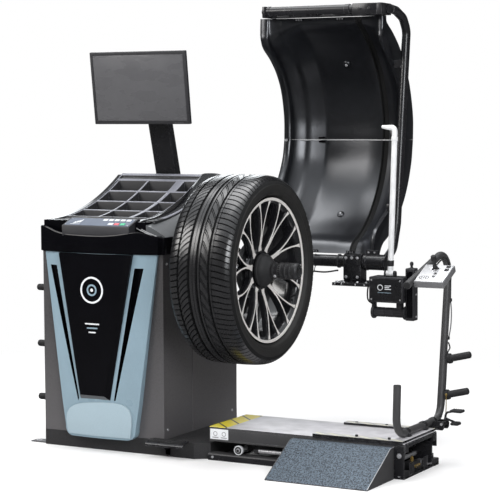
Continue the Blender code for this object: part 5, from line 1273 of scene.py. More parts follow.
# ---------------------------------------------------------------- outer gauge
def gauge():
    """The clamp on the bar, the gauge's case with its column, and the guide bar below."""
    low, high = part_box("gauge_clamp_block")
    axis = (0, 0.36, 0.70)
    body = block((0.72, 0.333, 0.6245), (0.795, 0.387, 0.73), 0.003)
    body = carved(body, rod((0.7, 0.36, 0.70), (0.81, 0.36, 0.70), 0.0233, 48))
    form = Form().take(body, BLACK)
    form.take(block((low.x, low.y, low.z), (high.x, high.y, 0.6245), 0.0018), BLACK)
    for left, right in ((0.7205, 0.7335), (0.7815, 0.7945)):
        ring = [(left, 0.0234), (left, 0.033), (left + 0.001, 0.0342), (right - 0.001, 0.0342), (right, 0.033),
                (right, 0.0234)]
        form.take(turned(ring, axis, "X", 48, ring=True), CASTING)
    form.take(block((0.7215, 0.3272, 0.632), (0.7935, 0.3335, 0.726), 0.0012), BLACK)
    for x, z in ((0.733, 0.7165), (0.7575, 0.7165), (0.782, 0.7165), (0.733, 0.642), (0.782, 0.642)):
        hex_bolt(form, (x, 0.3272, z), (0, -1, 0), 0.0085)
    for x in (0.712, 0.7415, 0.80, 0.838):
        hex_bolt(form, (x, 0.288, 0.6245), (0, 0, 1), 0.008)
        cap_screw(form, (x, low.y, 0.6183), (0, -1, 0), 0.003)
    form.piece("gauge_clamp", "base", ["gauge_clamp_block"], "black_paint")

    low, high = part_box("gauge_box")
    top = 0.655
    x, y, z = JOINTS["outer_gauge_swing"]["pos_m"]
    case = block((low.x, low.y, low.z), (high.x, high.y, top), 0.004, 3)
    well = block((x - 0.0145, y - 0.018, 0.632), (x + 0.0145, y + 0.018, 0.70), 0.001)
    form = Form().take(carved(case, well), TEXTURED)
    for left in (x - 0.023, x + 0.015):
        ear = [(y - 0.01, 0.65), (y - 0.01, z), (y - 0.007, z + 0.007), (y, z + 0.01), (y + 0.007, z + 0.007), (y + 0.01, z),
               (y + 0.01, 0.65)]
        form.take(prism(ear, "X", left, left + 0.008, 0.001), CASTING)
    form.take(block((low.x + 0.006, low.y - 0.0012, low.z + 0.006), (high.x - 0.006, low.y + 0.001, top - 0.006), 0.001), BLACK)
    plate = low.y - 0.0012
    ring = [(plate - 0.001, 0.0088), (plate - 0.001, 0.0115), (plate + 0.0005, 0.0115), (plate + 0.0005, 0.0088)]
    form.take(turned(ring, (low.x + 0.048, 0, low.z + 0.058), "Y", 40, ring=True), PALE)
    for k, length in enumerate((0.026, 0.018, 0.026)):
        height = low.z + 0.0505 + 0.0065 * k
        form.take(block((low.x + 0.067, plate - 0.001, height), (low.x + 0.067 + length, plate + 0.0005, height + 0.003), 0.0003),
                  PALE)
    form.take(block((low.x + 0.038, plate - 0.001, low.z + 0.0375), (low.x + 0.093, plate + 0.0005, low.z + 0.0395), 0.0003), TRIM)
    for screw_x in (low.x + 0.0115, high.x - 0.0115):
        for screw_z in (low.z + 0.0125, top - 0.0125):
            cap_screw(form, (screw_x, low.y - 0.0012, screw_z), (0, -1, 0), 0.003)
    for k in range(3):
        form.take(block((high.x - 0.0008, 0.268, low.z + 0.02 + 0.02 * k), (high.x + 0.0002, 0.312, low.z + 0.03 + 0.02 * k),
                        0.0003, 1), GLOSS)
    cable = smooth_path([(low.x + 0.004, 0.302, 0.642), (low.x - 0.012, 0.296, 0.636), (low.x - 0.02, 0.285, 0.605),
                         (low.x - 0.016, 0.276, 0.566), (low.x + 0.0, 0.276, 0.551), (low.x + 0.012, 0.282, 0.549)], 8)
    form.take(swept(cable, 0.003, 12), RUBBER)
    form.piece("gauge_case", "base", ["gauge_box"], "dark_plastic")

    low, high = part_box("gauge_column")
    form = Form().take(block((low.x, low.y, low.z), (high.x, high.y, 0.69), 0.004, 3), TEXTURED)
    form.take(block((low.x + 0.006, low.y - 0.0008, low.z + 0.012), (high.x - 0.006, low.y + 0.001, 0.678), 0.0008), GLOSS)
    form.take(turned([(0.688, 0.0), (0.688, 0.0085), (0.6915, 0.0085), (0.6925, 0.005), (0.699, 0.0045), (0.7005, 0.0065),
                      (0.7065, 0.0072), (0.7125, 0.006), (0.7148, 0.003), (0.715, 0.0)], (1.027, 0.29, 0), "Z", 28), CASTING)
    for z in (0.505, 0.59, 0.675):
        cap_screw(form, (high.x - 0.0005, 0.29, z), (1, 0, 0), 0.0035)
    form.piece("gauge_column_body", "base", ["gauge_column"], "dark_plastic")

    low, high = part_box("gauge_guide_bar")
    y, z = 0.29, 0.517
    a, b = low.x, high.x
    profile = [(a, 0.0), (a, 0.0245), (a + 0.0015, 0.0258), (a + 0.0085, 0.0258), (a + 0.01, 0.0245), (a + 0.0105, 0.0188),
               (a + 0.05, 0.0184), (a + 0.0515, 0.0176), (a + 0.0535, 0.0176), (a + 0.055, 0.0184), (b - 0.055, 0.0184),
               (b - 0.0535, 0.0176), (b - 0.0515, 0.0176), (b - 0.05, 0.0184), (b - 0.0105, 0.0188), (b - 0.01, 0.0245),
               (b - 0.0085, 0.0258), (b - 0.0015, 0.0258), (b, 0.0245), (b, 0.0)]
    form = Form().take(turned(profile, (0, y, z), "X", 48), TEXTURED)
    form.take(block((0.8675, y - 0.016, z), (0.8755, y + 0.016, 0.5567), 0.0012), TEXTURED)
    form.take(block((0.968, y - 0.012, z + 0.012), (0.99, y + 0.012, 0.5567), 0.0012), TEXTURED)
    for x, out in ((a, -1), (b, 1)):
        cap_screw(form, (x, y, z), (out, 0, 0), 0.006)
    form.piece("gauge_guide_roller", "base", ["gauge_guide_bar"], "dark_plastic")

    x, y, z = JOINTS["outer_gauge_swing"]["pos_m"]
    root, crown = Vector((x, y, z)), Vector((0.967, 0.266, 1.221))
    path = bent([root, crown, (0.915, 0.266, 1.225)], (0.013,), 8)
    form = Form().take(swept(path, [0.0108] * (len(path) - 1) + [0.0062], 32), ARM_METAL)
    form.take(rod((x - 0.0143, y, z), (x + 0.0143, y, z), 0.0112, 32, 0.0008), ARM_METAL)
    along = (crown - root).normalized()
    for start, end, radius in ((0.028, 0.05, 0.0128), (0.505, 0.521, 0.0124)):
        form.take(rod(root + along * start, root + along * end, radius, 32, 0.0012), CASTING if start < 0.1 else ARM_METAL)
    form.piece("outer_gauge_tube", "outer_gauge", ["outer_gauge_arm"], "gauge_tube")


def inner_gauge():
    low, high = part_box("inner_gauge_slider")
    axis = (0, 0.06, 0.8)
    a, b = low.x, high.x
    profile = [(a, 0.0131), (a, 0.017), (a + 0.001, 0.018), (b - 0.0015, 0.018), (b, 0.0168), (b, 0.0142), (b - 0.002, 0.0131)]
    Form().take(turned(profile, axis, "X", 48, ring=True), TEXTURED).piece(
        "inner_gauge_sleeve", "inner_slider", ["inner_gauge_slider"], "dark_plastic")
    low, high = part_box("inner_gauge_arm")
    y, z = 0.06, 0.80
    form = Form().take(turned([(0.21, 0.0), (0.21, 0.0115), (0.211, 0.0125), (0.3165, 0.0125), (0.3175, 0.0115), (0.3175, 0.0)],
                              axis, "X", 40), ARM_METAL)
    finger = [(y - 0.0125, z), (y - 0.0108, z - 0.0075), (y - 0.006, z - 0.012), (y + 0.006, z - 0.012), (y + 0.0108, z - 0.0075),
              (y + 0.0125, z), (y + 0.009, z + 0.062), (y + 0.0045, z + 0.07), (y - 0.0045, z + 0.07), (y - 0.009, z + 0.062)]
    form.take(prism(finger, "X", 0.3172, 0.331, 0.002), TEXTURED)
    form.take(block((0.3145, y - 0.005, z + 0.05), (0.32, y + 0.005, z + 0.066), 0.0012), STEEL)
    form.piece("inner_gauge_finger", "inner_arm", ["inner_gauge_arm"], "gauge_tube")


# ---------------------------------------------------------------- wheel lift
def lift():
    low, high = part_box("lift_base")
    front, rear, right = low.y, high.y, high.x
    form = Form()
    rail = [(0.0, 0.001), (0.001, 0.0), (0.044, 0.0), (0.045, 0.001), (0.045, 0.0245), (0.0435, 0.026), (0.006, 0.026),
            (0.002, 0.024), (0.0, 0.020)]
    for start, mirror in ((front, 1), (rear, -1)):
        outline = [(start + mirror * u, v) for u, v in rail]
        form.take(prism(outline, "X", low.x, right, 0.0008, 1), BLACK,
                  lambda centre, normal: TUBE_GREY if centre.z > 0.02 else None)
    for left, end in ((low.x, 0.52), (0.82, 0.9), (1.12, right)):
        form.take(block((left, front + 0.01, 0.0), (end, rear - 0.01, 0.008), 0.001), BLACK)
        for y in (front + 0.062, rear - 0.062):
            hex_bolt(form, ((left + end) / 2, y, 0.008), (0, 0, 1), 0.0105)
    axle = JOINTS["scissor_lift"]["pos_m"]
    for start in (-0.2325, 0.0025):
        cheek = [(1.145, 0.004), (1.195, 0.004), (1.187, 0.05), (1.18, 0.06), (1.17, 0.062), (1.16, 0.06), (1.153, 0.05)]
        bore = rod((axle[0], start - 0.01, axle[2]), (axle[0], start + 0.02, axle[2]), 0.0085, 32)
        form.take(carved(prism(cheek, "Y", start, start + 0.01, 0.001), bore), BLACK)
    form.take(block((1.196, -0.165, 0.0085), (1.232, -0.105, 0.043), 0.0025), CASTING)
    form.take(block((1.2, -0.085, 0.0085), (1.228, -0.045, 0.036), 0.002), GREY_CASE)
    for y in (-0.152, -0.135, -0.118):
        form.take(rod((1.231, y, 0.028), (1.239, y, 0.028), 0.006, 6, 0.0006), BRASS)
        form.take(rod((1.238, y, 0.028), (1.2395, y, 0.028), 0.0045, 24), CASTING)
    form.take(turned([(0.0425, 0.0), (0.0425, 0.0075), (0.047, 0.0075), (0.048, 0.006), (0.0555, 0.006), (0.0565, 0.0035),
                      (0.06, 0.0035), (0.06, 0.0)], (1.213, -0.135, 0), "Z", 24), BRASS)
    for k, (y, colour) in enumerate(((-0.152, RUBBER), (-0.118, RUBBER), (-0.065, GREY_CASE))):
        hose = smooth_path([(1.236, y, 0.026), (1.2385, y + 0.014, 0.019), (1.234, y + 0.034 + 0.012 * k, 0.0135),
                            (1.214, y + 0.05 + 0.008 * k, 0.0128), (1.198, y + 0.052 + 0.01 * k, 0.0128)], 8)
        form.take(swept(hose, 0.0032, 12), colour)
    for x in (0.47, 0.86, 1.222):
        cap_screw(form, (x, front, 0.0125), (0, -1, 0), 0.0048)
    form.take(block((1.2045, -0.2712, 0.012), (1.242, -0.2676, 0.118), 0.0012), BLACK)
    hex_bolt(form, (1.2235, -0.2712, 0.084), (0, -1, 0), 0.0125)
    form.take(block((0.56, -0.0052, 0.008), (1.236, -0.0022, 0.092), 0.0008), BLACK)
    for start, end in ((-0.215, -0.175), (-0.09, -0.05), (-0.005, 0.001)):
        form.take(block((1.2365, start, 0.0085), (1.2395, end, 0.05), 0.001), BLACK)
    form.take(block((1.06, -0.176, 0.0085), (1.13, -0.11, 0.04), 0.004, 3), GREY_CASE)
    form.take(rod((1.075, -0.095, 0.024), (1.15, -0.095, 0.024), 0.0145, 32, 0.002), CASTING)
    for k in range(3):
        y = -0.165 + 0.02 * k
        hose = smooth_path([(1.129, y, 0.03), (1.15, y + 0.006, 0.024), (1.175, y + 0.012, 0.017), (1.198, y + 0.01, 0.02)], 8)
        form.take(swept(hose, 0.0034, 12), (RUBBER, CASTING, RUBBER)[k])
    form.piece("lift_floor_frame", "base", ["lift_base"], "black_paint")

    low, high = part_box("lift_platform")
    left, right, front, rear, bottom, top = low.x, high.x, low.y, high.y, low.z, high.z
    form = Form()
    deck = [(front, top - 0.0045), (front, top - 0.002), (front + 0.0012, top - 0.0004), (front + 0.003, top), (rear - 0.003, top),
            (rear - 0.0012, top - 0.0004), (rear, top - 0.002), (rear, top - 0.0045)]
    strip = left + 0.074

    def deck_finish(centre, normal):
        return HAZARD if centre.x < strip and normal.z > 0.4 else (None if normal.z > 0.4 else BLACK)
    form.take(prism(deck, "X", left, strip, 0.0), DECK, deck_finish)
    form.take(prism(deck, "X", strip, right - 0.002, 0.0), DECK, deck_finish)
    form.take(block((left, front, bottom), (right, front + 0.003, top - 0.0045), 0.0009), SKIRT)
    form.take(block((left, rear - 0.003, bottom), (right, rear, top - 0.0045), 0.0009), BLACK)
    form.take(block((left, front + 0.003, bottom), (left + 0.003, rear - 0.003, top - 0.0045), 0.0009), BLACK)
    for start in (front - 0.0012, rear - 0.001):
        form.take(block((left + 0.001, start, bottom + 0.0005), (right - 0.001, start + 0.0022, bottom + 0.0065), 0.0009), TUBE_GREY)
    form.take(block((left, front, top - 0.0115), (right, front + 0.004, top - 0.0085), 0.0008), BLACK)
    form.take(block((left + 0.003, front - 0.0009, bottom + 0.0085), (left + 0.079, front + 0.001, top - 0.0085), 0.0004), PALE)
    for k in range(2):
        x = left + 0.012 + 0.036 * k
        form.take(block((x, front - 0.0013, bottom + 0.014), (x + 0.026, front - 0.0005, bottom + 0.0165), 0.0002, 1), GREY_CASE)
        ring = [(-0.0013, 0.0085), (-0.0005, 0.0085), (-0.0005, 0.0068), (-0.0013, 0.0068)]
        form.take(turned(ring, (x + 0.013, front, bottom + 0.029), "Y", 28, ring=True), GREY_CASE)
    for start in (-0.187, -0.045):
        cheek = [(1.155, 0.078), (1.16, 0.0735), (1.17, 0.072), (1.18, 0.0735), (1.185, 0.078), (1.185, 0.123), (1.155, 0.123)]
        axle = JOINTS["platform_level"]["pos_m"]
        bore = rod((axle[0], start - 0.01, axle[2]), (axle[0], start + 0.02, axle[2]), 0.0085, 32)
        form.take(carved(prism(cheek, "Y", start, start + 0.01, 0.001), bore), BLACK)
    for y in (front + 0.018, rear - 0.018):
        form.take(block((right - 0.012, y - 0.015, 0.094), (right, y + 0.015, top - 0.0048), 0.0018), BLACK)
    form.take(block((right - 0.006, front + 0.034, 0.112), (right - 0.0005, rear - 0.034, top - 0.0048), 0.0012), BLACK)
    form.piece("lift_deck", "platform", ["lift_platform"], "lift_plate")

    low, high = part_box("lift_ramp")
    side = [(-0.494, 0.0), (-0.494, 0.0035), (-0.2995, 0.1125), (-0.2975, 0.113), (-0.2715, 0.113), (-0.2705, 0.112),
            (-0.2705, 0.109), (-0.2985, 0.109), (-0.487, 0.0)]
    form = Form().take(prism(side, "X", low.x, high.x, 0.0006, 1), GRIT,
                       lambda centre, normal: None if normal.z > 0.2 else BLACK)
    for x in (low.x, high.x - 0.003):
        cheek = [(-0.489, 0.0), (-0.2715, 0.0), (-0.2715, 0.1105), (-0.2985, 0.1105)]
        form.take(prism(cheek, "X", x, x + 0.003, 0.0007, 1), TUBE_GREY)
        edge = x + (0.0006 if x == low.x else 0.0024)
        form.take(swept([(edge, -0.4935, 0.0038), (edge, -0.2992, 0.1128), (edge, -0.2715, 0.1132)], 0.0013, 10),
                  STEEL if x != low.x else TUBE_GREY)
    form.take(swept([(low.x + 0.001, -0.4925, 0.0022), (high.x - 0.001, -0.4925, 0.0022)], 0.0018, 10), TUBE_GREY)
    form.take(block((low.x + 0.003, -0.2745, 0.03), (high.x - 0.003, -0.2710, 0.109), 0.0008), BLACK)
    form.take(block((0.99, -0.43, 0.006), (1.01, -0.275, 0.03), 0.001), BLACK)
    form.piece("lift_ramp_plate", "base", ["lift_ramp"], "ramp_grit")

    y, z = -0.243, 0.046
    barrel = [(0.7985, 0.0), (0.7985, 0.0145), (0.8, 0.0155), (0.813, 0.0168), (0.8145, 0.0158), (1.083, 0.0158),
              (1.0845, 0.0168), (1.0985, 0.0168), (1.1, 0.0155), (1.1, 0.0)]
    form = Form().take(turned(barrel, (0, y, z), "X", 40), CASTING)
    piston = [(0.635, 0.0), (0.635, 0.0062), (0.636, 0.0072), (0.80, 0.0072), (0.80, 0.0)]
    form.take(turned(piston, (0, y, z), "X", 36), STEEL)
    form.take(turned([(0.6355, 0.0), (0.6355, 0.0095), (0.637, 0.0105), (0.652, 0.0105), (0.6535, 0.0095), (0.6535, 0.0)],
                     (0, y, z), "X", 6), CASTING)
    for x in (0.825, 1.07):
        form.take(rod((x, y, z + 0.014), (x, y, z + 0.0168), 0.0055, 24, 0.0006), BRASS)
    form.piece("lift_air_cylinder", "base", ["lift_cylinder"], "black_paint")


def flat_link(start, end, y):
    """A scissor bar with round ends, 10 mm thick from y on."""
    start, end = Vector(start), Vector(end)
    heading = math.degrees(math.atan2(end.y - start.y, end.x - start.x))
    outline = arc(end, 0.0108, heading - 90, heading + 90, 14) + arc(start, 0.0108, heading + 90, heading + 270, 14)
    return prism(outline, "Y", y, y + 0.01, 0.001, 2, 50)


def scissors():
    base, top = JOINTS["scissor_lift"]["pos_m"], JOINTS["platform_level"]["pos_m"]
    left = JOINTS["roller_spin"]["pos_m"]
    middle = JOINTS["scissor_cross"]["pos_m"]
    right_low, left_low = (base[0], base[2]), (left[0], left[2])
    right_high, left_high = (top[0], top[2]), (left[0], top[2])

    def pin(form, x, z, start, end, radius=0.008):
        form.take(rod((x, start, z), (x, end, z), radius, 28, 0.0009), STEEL)
    outer = Form().take(flat_link(right_low, left_high, -0.2165), BLACK).take(flat_link(right_low, left_high, -0.0135), BLACK)
    pin(outer, *right_low, -0.236, 0.0165)
    pin(outer, *left_high, -0.2125, -0.0075)
    for start in (-0.21, -0.03):
        pin(outer, middle[0], middle[2], start, start + 0.02, 0.006)
    outer.piece("scissor_outer_bars", "outer_bars", ["scissor_outer"], "black_paint")
    hole = rod((middle[0], -0.25, middle[2]), (middle[0], 0.02, middle[2]), 0.0064, 28)
    inner = Form()
    for start in (-0.2, -0.03):
        inner.take(carved(flat_link(left_low, right_high, start), hole.copy()), BLACK)
    hole.free()
    pin(inner, *left_low, -0.264, -0.025)
    pin(inner, *right_high, -0.195, -0.025)
    inner.take(rod((left[0], -0.2665, left[2]), (left[0], -0.263, left[2]), 0.0055, 6, 0.0005), CASTING)
    inner.piece("scissor_inner_bars", "inner_bars", ["scissor_inner"], "black_paint")
    wheel = [(-0.262, 0.0085), (-0.262, 0.0122), (-0.2612, 0.0126), (-0.2612, 0.0142), (-0.262, 0.0146), (-0.262, 0.0165),
             (-0.261, 0.0175), (-0.251, 0.0175), (-0.25, 0.0165), (-0.25, 0.0085)]

    def tread(centre, normal):
        radius = math.hypot(centre.x - left[0], centre.z - left[2])
        return PALE if radius > 0.0135 else None
    Form().take(turned(wheel, (left[0], 0, left[2]), "Y", 48, ring=True), CASTING, tread).piece(
        "scissor_track_roller", "roller", ["scissor_roller"], "panel_silver")


def carriage():
    low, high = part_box("lift_table")
    floor, top = 0.1275, 0.136
    x, y, z = JOINTS["foot_lever_press"]["pos_m"]
    form = Form()

    def striped_top(centre, normal):
        return FADED if normal.z > 0.7 and centre.z > top - 0.002 else None
    form.take(block((low.x, low.y, floor), (1.236, -0.235, top), 0.0012), BLACK, striped_top)
    form.take(block((low.x, low.y, 0.121), (1.236, -0.2678, floor + 0.004), 0.0012), BLACK)
    form.take(block((low.x, -0.012, floor), (1.236, 0.024, top), 0.0012), BLACK, striped_top)
    form.take(block((1.17, -0.25, floor), (1.236, 0.01, top - 0.0003), 0.0012), BLACK,
              lambda centre, normal: DECK if normal.z > 0.7 else None)
    form.take(block((1.186, -0.245, top - 0.0006), (1.236, 0.006, top + 0.0001), 0.0), DECK)
    for spot in (1.052, 1.178):
        form.take(rod((spot, -0.2545, top), (spot, -0.2545, top + 0.0075), 0.0055, 24, 0.0012), CASTING)
    for spot in (0.93, 1.052, 1.178):
        form.take(rod((spot, 0.006, top), (spot, 0.006, top + 0.003), 0.0055, 24, 0.001), CASTING)
    bore = rod((x, y - 0.04, z), (x, y + 0.04, z), 0.0054, 28)
    for face in (y - 0.0263, y + 0.0203):
        side = [(1.2205, 0.128), (x + 0.004, 0.128), (x + 0.009, 0.136), (x + 0.0098, z), (x + 0.006, z + 0.008), (x, z + 0.01),
                (1.2265, z + 0.01), (1.2205, z + 0.004)]
        form.take(carved(prism(side, "Y", face, face + 0.006, 0.001), bore.copy()), BLACK)
    bore.free()
    form.take(block((1.19, 0.01, floor), (1.235, y + 0.0258, top - 0.001), 0.0012), BLACK)
    form.take(block((1.221, 0.031, 0.128), (1.24, y + 0.0205, 0.1345), 0.001), BLACK)
    form.piece("lift_carriage", "carriage", ["lift_table"], "lift_plate")

    low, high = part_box("lift_handle_tube")
    x = (low.x + high.x) / 2
    floor = low.z + 0.014
    path = bent([(x, -0.247, 0.328), (x, -0.256, floor), (x, 0.142, floor), (x, 0.232, 0.785), (x, -0.165, 0.672)],
                (0.06, 0.06, 0.075), 14)
    form = Form().take(swept(path, 0.0138, 36, 0.0012), TUBE_GREY)
    for end, inner in ((path[0], path[1]), (path[-1], path[-2])):
        out = (end - inner).normalized()
        form.take(rod(end - out * 0.001, end + out * 0.0022, 0.0125, 36, 0.001), RUBBER)
    for y in (-0.17, -0.02, 0.07):
        form.take(block((x - 0.02, y - 0.011, floor - 0.0139), (x + 0.02, y + 0.011, floor - 0.0095), 0.001), BLACK)
        ring = [(y - 0.009, 0.0136), (y - 0.009, 0.0158), (y - 0.0082, 0.0164), (y + 0.0082, 0.0164), (y + 0.009, 0.0158),
                (y + 0.009, 0.0136)]
        collar = turned(ring, (x, 0, floor), "Y", 40, ring=True)
        form.take(carved(collar, block((x - 0.03, -0.3, 0.0), (x + 0.03, 0.3, floor - 0.0136), 0.0)), BLACK)
    hex_bolt(form, (x - 0.0165, -0.02, floor - 0.0097), (0, 0, 1), 0.006)
    cable = smooth_path([(x + 0.013, 0.1905, 0.43), (x + 0.0195, 0.1895, 0.41), (x + 0.0155, 0.1805, 0.395), (x + 0.0135, 0.1765, 0.375),
                         (x + 0.0135, 0.172, 0.345), (x + 0.014, 0.166, 0.30), (x + 0.0142, 0.156, 0.24), (x + 0.015, 0.138, 0.185),
                         (x + 0.015, 0.11, 0.165)], 8)
    form.take(swept(cable, 0.0026, 12), RUBBER)
    upper = smooth_path([(x + 0.012, 0.2135, 0.585), (x + 0.0185, 0.2055, 0.54), (x + 0.019, 0.199, 0.49), (x + 0.0135, 0.1925, 0.445)], 8)
    form.take(swept(upper, 0.0022, 12), GREY_CASE)
    for y, z in ((0.2135, 0.585), (0.1925, 0.445)):
        form.take(block((x + 0.0095, y - 0.005, z - 0.006), (x + 0.0165, y + 0.005, z + 0.006), 0.0015), RUBBER)
    form.piece("handle_bow", "carriage", ["lift_handle_tube"], "black_paint")

    for name, start in (("post_peg_upper", (0.178, 0.37)), ("post_peg_lower", (0.158, 0.238))):
        root = Vector((x + 0.0188, *start))
        along = Vector((0.088, 0, 0.021)).normalized()
        form = Form()
        bm = turned([(0.0, 0.0), (0.0, 0.0175), (0.001, 0.0188), (0.011, 0.0188), (0.0125, 0.0172), (0.0135, 0.0145),
                     (0.016, 0.0132), (0.084, 0.0130), (0.0875, 0.0122), (0.0897, 0.0098), (0.0903, 0.006), (0.0903, 0.0)],
                    (0, 0, 0), "Z", 40)
        bm.transform(Matrix.Translation(root) @ UP.rotation_difference(along).to_matrix().to_4x4())
        form.take(bm, RUBBER)
        for k in range(3):
            at = root + along * (0.03 + 0.018 * k)
            form.take(rod(at, at + along * 0.0016, 0.0133, 36), RUBBER)
        form.take(block((root.x - 0.0045, root.y - 0.0125, root.z - 0.017), (root.x + 0.0008, root.y + 0.0125, root.z + 0.019), 0.0015), BLACK)
        form.piece(name + "_sleeve", "carriage", [name], "rubber")


def controls():
    """The tilted control case with its joystick."""
    centre = Vector((1.2761, -0.082, 0.7))
    tilt = math.radians(25)
    slope, outward = Vector((0, math.cos(tilt), math.sin(tilt))), Vector((0, -math.sin(tilt), math.cos(tilt)))
    turn = Matrix(((1, 0, 0), (0, slope.y, outward.y), (0, slope.z, outward.z)))

    def placed(bm):
        for vert in bm.verts:
            vert.co = centre + turn @ vert.co
        return bm
    pivot = Vector((-0.006, 0.03, 0.0))
    case = carved(block((-0.0565, -0.062, -0.0125), (0.0565, 0.062, 0.0122), 0.0032, 3),
                  rod(pivot + Vector((0, 0, -0.005)), pivot + Vector((0, 0, 0.03)), 0.0131, 40))
    form = Form().take(placed(case), GREY_CASE)
    face = carved(block((-0.0535, -0.059, 0.0118), (0.0535, 0.059, 0.0136), 0.0008),
                  rod(pivot + Vector((0, 0, -0.005)), pivot + Vector((0, 0, 0.03)), 0.0131, 40))
    form.take(placed(face), SILVER_AND_HIGHLIGHT)
    ring = [(0.0125, 0.0132), (0.0125, 0.0182), (0.0142, 0.0182), (0.0152, 0.0172), (0.0152, 0.0142), (0.0146, 0.0132)]
    form.take(placed(turned(ring, (pivot.x, pivot.y, 0), "Z", 44, ring=True)), STEEL)
    for x, y in ((0.031, 0.046), (0.031, 0.024)):
        form.take(placed(block((x, y - 0.006, 0.0132), (x + 0.015, y + 0.006, 0.0168), 0.0014)), GLOSS)
    for x, y in ((0.006, -0.004), (0.006, -0.024)):
        form.take(placed(turned([(0.0132, 0.0), (0.0132, 0.0056), (0.0148, 0.0056), (0.0152, 0.0046), (0.0162, 0.0042), (0.0166, 0.003),
                                 (0.0166, 0.0)], (x, y, 0), "Z", 24)), CASTING)
    oval = []
    for radius in (1.0, 0.8):
        oval.append([(-0.026 + 0.0195 * radius * math.cos(math.tau * k / 40), -0.033 + 0.0125 * radius * math.sin(math.tau * k / 40))
                     for k in range(40)])
    loops = [[(x, y, z) for x, y in oval[i]] for i, z in ((0, 0.0134), (0, 0.0139), (1, 0.0139), (1, 0.0134))]
    form.take(placed(looped(loops, along=True)), GREY_CASE)
    for k in (-1, 0, 1):
        form.take(placed(block((-0.0285 + 0.0075 * k, -0.0385, 0.0133), (-0.0245 + 0.0075 * k, -0.0275 + 0.002 * (k + 1), 0.0139), 0.0003)),
                  GREY_CASE)
    for x in (-0.049, 0.049):
        for y in (-0.0545, 0.0545):
            bm = turned([(0.0, 0.0), (0.0, 0.0028), (0.0012, 0.0026), (0.0016, 0.0018), (0.0008, 0.0014), (0.0008, 0.0)],
                        (x, y, 0.0135), "Z", 20)
            form.take(placed(bm), STEEL)
    form.take(block((1.2155, -0.112, 0.682), (1.2235, -0.052, 0.7), 0.0015), BLACK)
    gland = centre + turn @ Vector((-0.02, 0.064, -0.002))
    form.take(rod(centre + turn @ Vector((-0.02, 0.058, -0.002)), centre + turn @ Vector((-0.02, 0.069, -0.002)), 0.0062, 6, 0.0006),
              CASTING)
    lead = smooth_path([gland, gland + Vector((-0.008, 0.022, 0.006)), Vector((1.2235, 0.06, 0.727)), Vector((1.2195, 0.12, 0.742)),
                        Vector((1.2175, 0.17, 0.742)), Vector((1.2185, 0.202, 0.705)), Vector((1.2185, 0.209, 0.65)),
                        Vector((1.2165, 0.2125, 0.59))], 8)
    form.take(swept(lead, 0.0028, 12), RUBBER)
    form.piece("control_case", "carriage", ["control_box"], "panel_silver")

    low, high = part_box("joystick_gimbal")
    middle = (low + high) / 2
    profile = [(low.x, 0.0), (low.x, 0.0032), (low.x + 0.0006, 0.004), (high.x - 0.0006, 0.004), (high.x, 0.0032), (high.x, 0.0)]
    Form().take(turned(profile, (0, middle.y, middle.z), "X", 28), STEEL).piece(
        "joystick_cross_pin", "gimbal", ["joystick_gimbal"], "bright_steel")
    stick = [(0.0138, 0.0), (0.0138, 0.0048), (0.0174, 0.0052), (0.0184, 0.0082), (0.0195, 0.0090), (0.0205, 0.0086),
             (0.0217, 0.0096), (0.023, 0.0083), (0.0244, 0.0090), (0.0256, 0.0076), (0.0272, 0.0080), (0.029, 0.0064), (0.044, 0.0058), (0.0468, 0.0078),
             (0.049, 0.0092), (0.062, 0.0096), (0.0662, 0.0088), (0.0682, 0.0064), (0.0688, 0.003), (0.0688, 0.0)]
    Form().take(placed(turned(stick, (pivot.x, pivot.y, 0), "Z", 36)), RUBBER).piece(
        "joystick_grip", "stick", ["joystick"], "rubber")


def foot_control():
    x, y, z = JOINTS["foot_lever_press"]["pos_m"]
    arm = bent([(x, y, z), (x + 0.008, y, z + 0.04), (x + 0.05, y, z + 0.05)], (0.012,), 8)
    form = Form().take(swept(arm, 0.004, 20), BLACK)
    form.take(swept([(x + 0.004, y, z + 0.02), (x + 0.05, y, z + 0.004)], 0.004, 20), BLACK)
    form.take(rod((x, y - 0.0198, z), (x, y + 0.0198, z), 0.008, 28, 0.0008), BLACK)
    form.take(rod((x, y - 0.03, z), (x, y + 0.03, z), 0.005, 28, 0.0006), STEEL)
    for (low_x, low_z), (high_x, high_z) in (((0.028, 0.044), (0.074, 0.054)), ((0.03, -0.003), (0.06, 0.008))):
        form.take(block((x + low_x, y - 0.018, z + low_z), (x + high_x, y + 0.018, z + high_z), 0.0038, 3), RUBBER)
        for k in range(5):
            at = x + low_x + 0.006 + (high_x - low_x - 0.012) * k / 4
            form.take(block((at - 0.0012, y - 0.0155, z + high_z - 0.001), (at + 0.0012, y + 0.0155, z + high_z + 0.0007), 0.0005, 1), RUBBER)
    rod_foot = Vector((x + 0.006, y, z + 0.034))
    form.take(swept([rod_foot, rod_foot + Vector((0.001, 0.001, 0.022)), rod_foot + Vector((0.001, 0.001, 0.072))], 0.0018, 12), BRASS)
    form.take(turned([(0.0, 0.0), (0.0, 0.0036), (0.002, 0.0044), (0.006, 0.0044), (0.008, 0.0036), (0.0085, 0.0)],
                     rod_foot + Vector((0.001, 0.001, 0.068)), "Z", 20), BRASS)
    form.piece("foot_lever_pads", "foot_lever", ["foot_lever"], "black_paint")


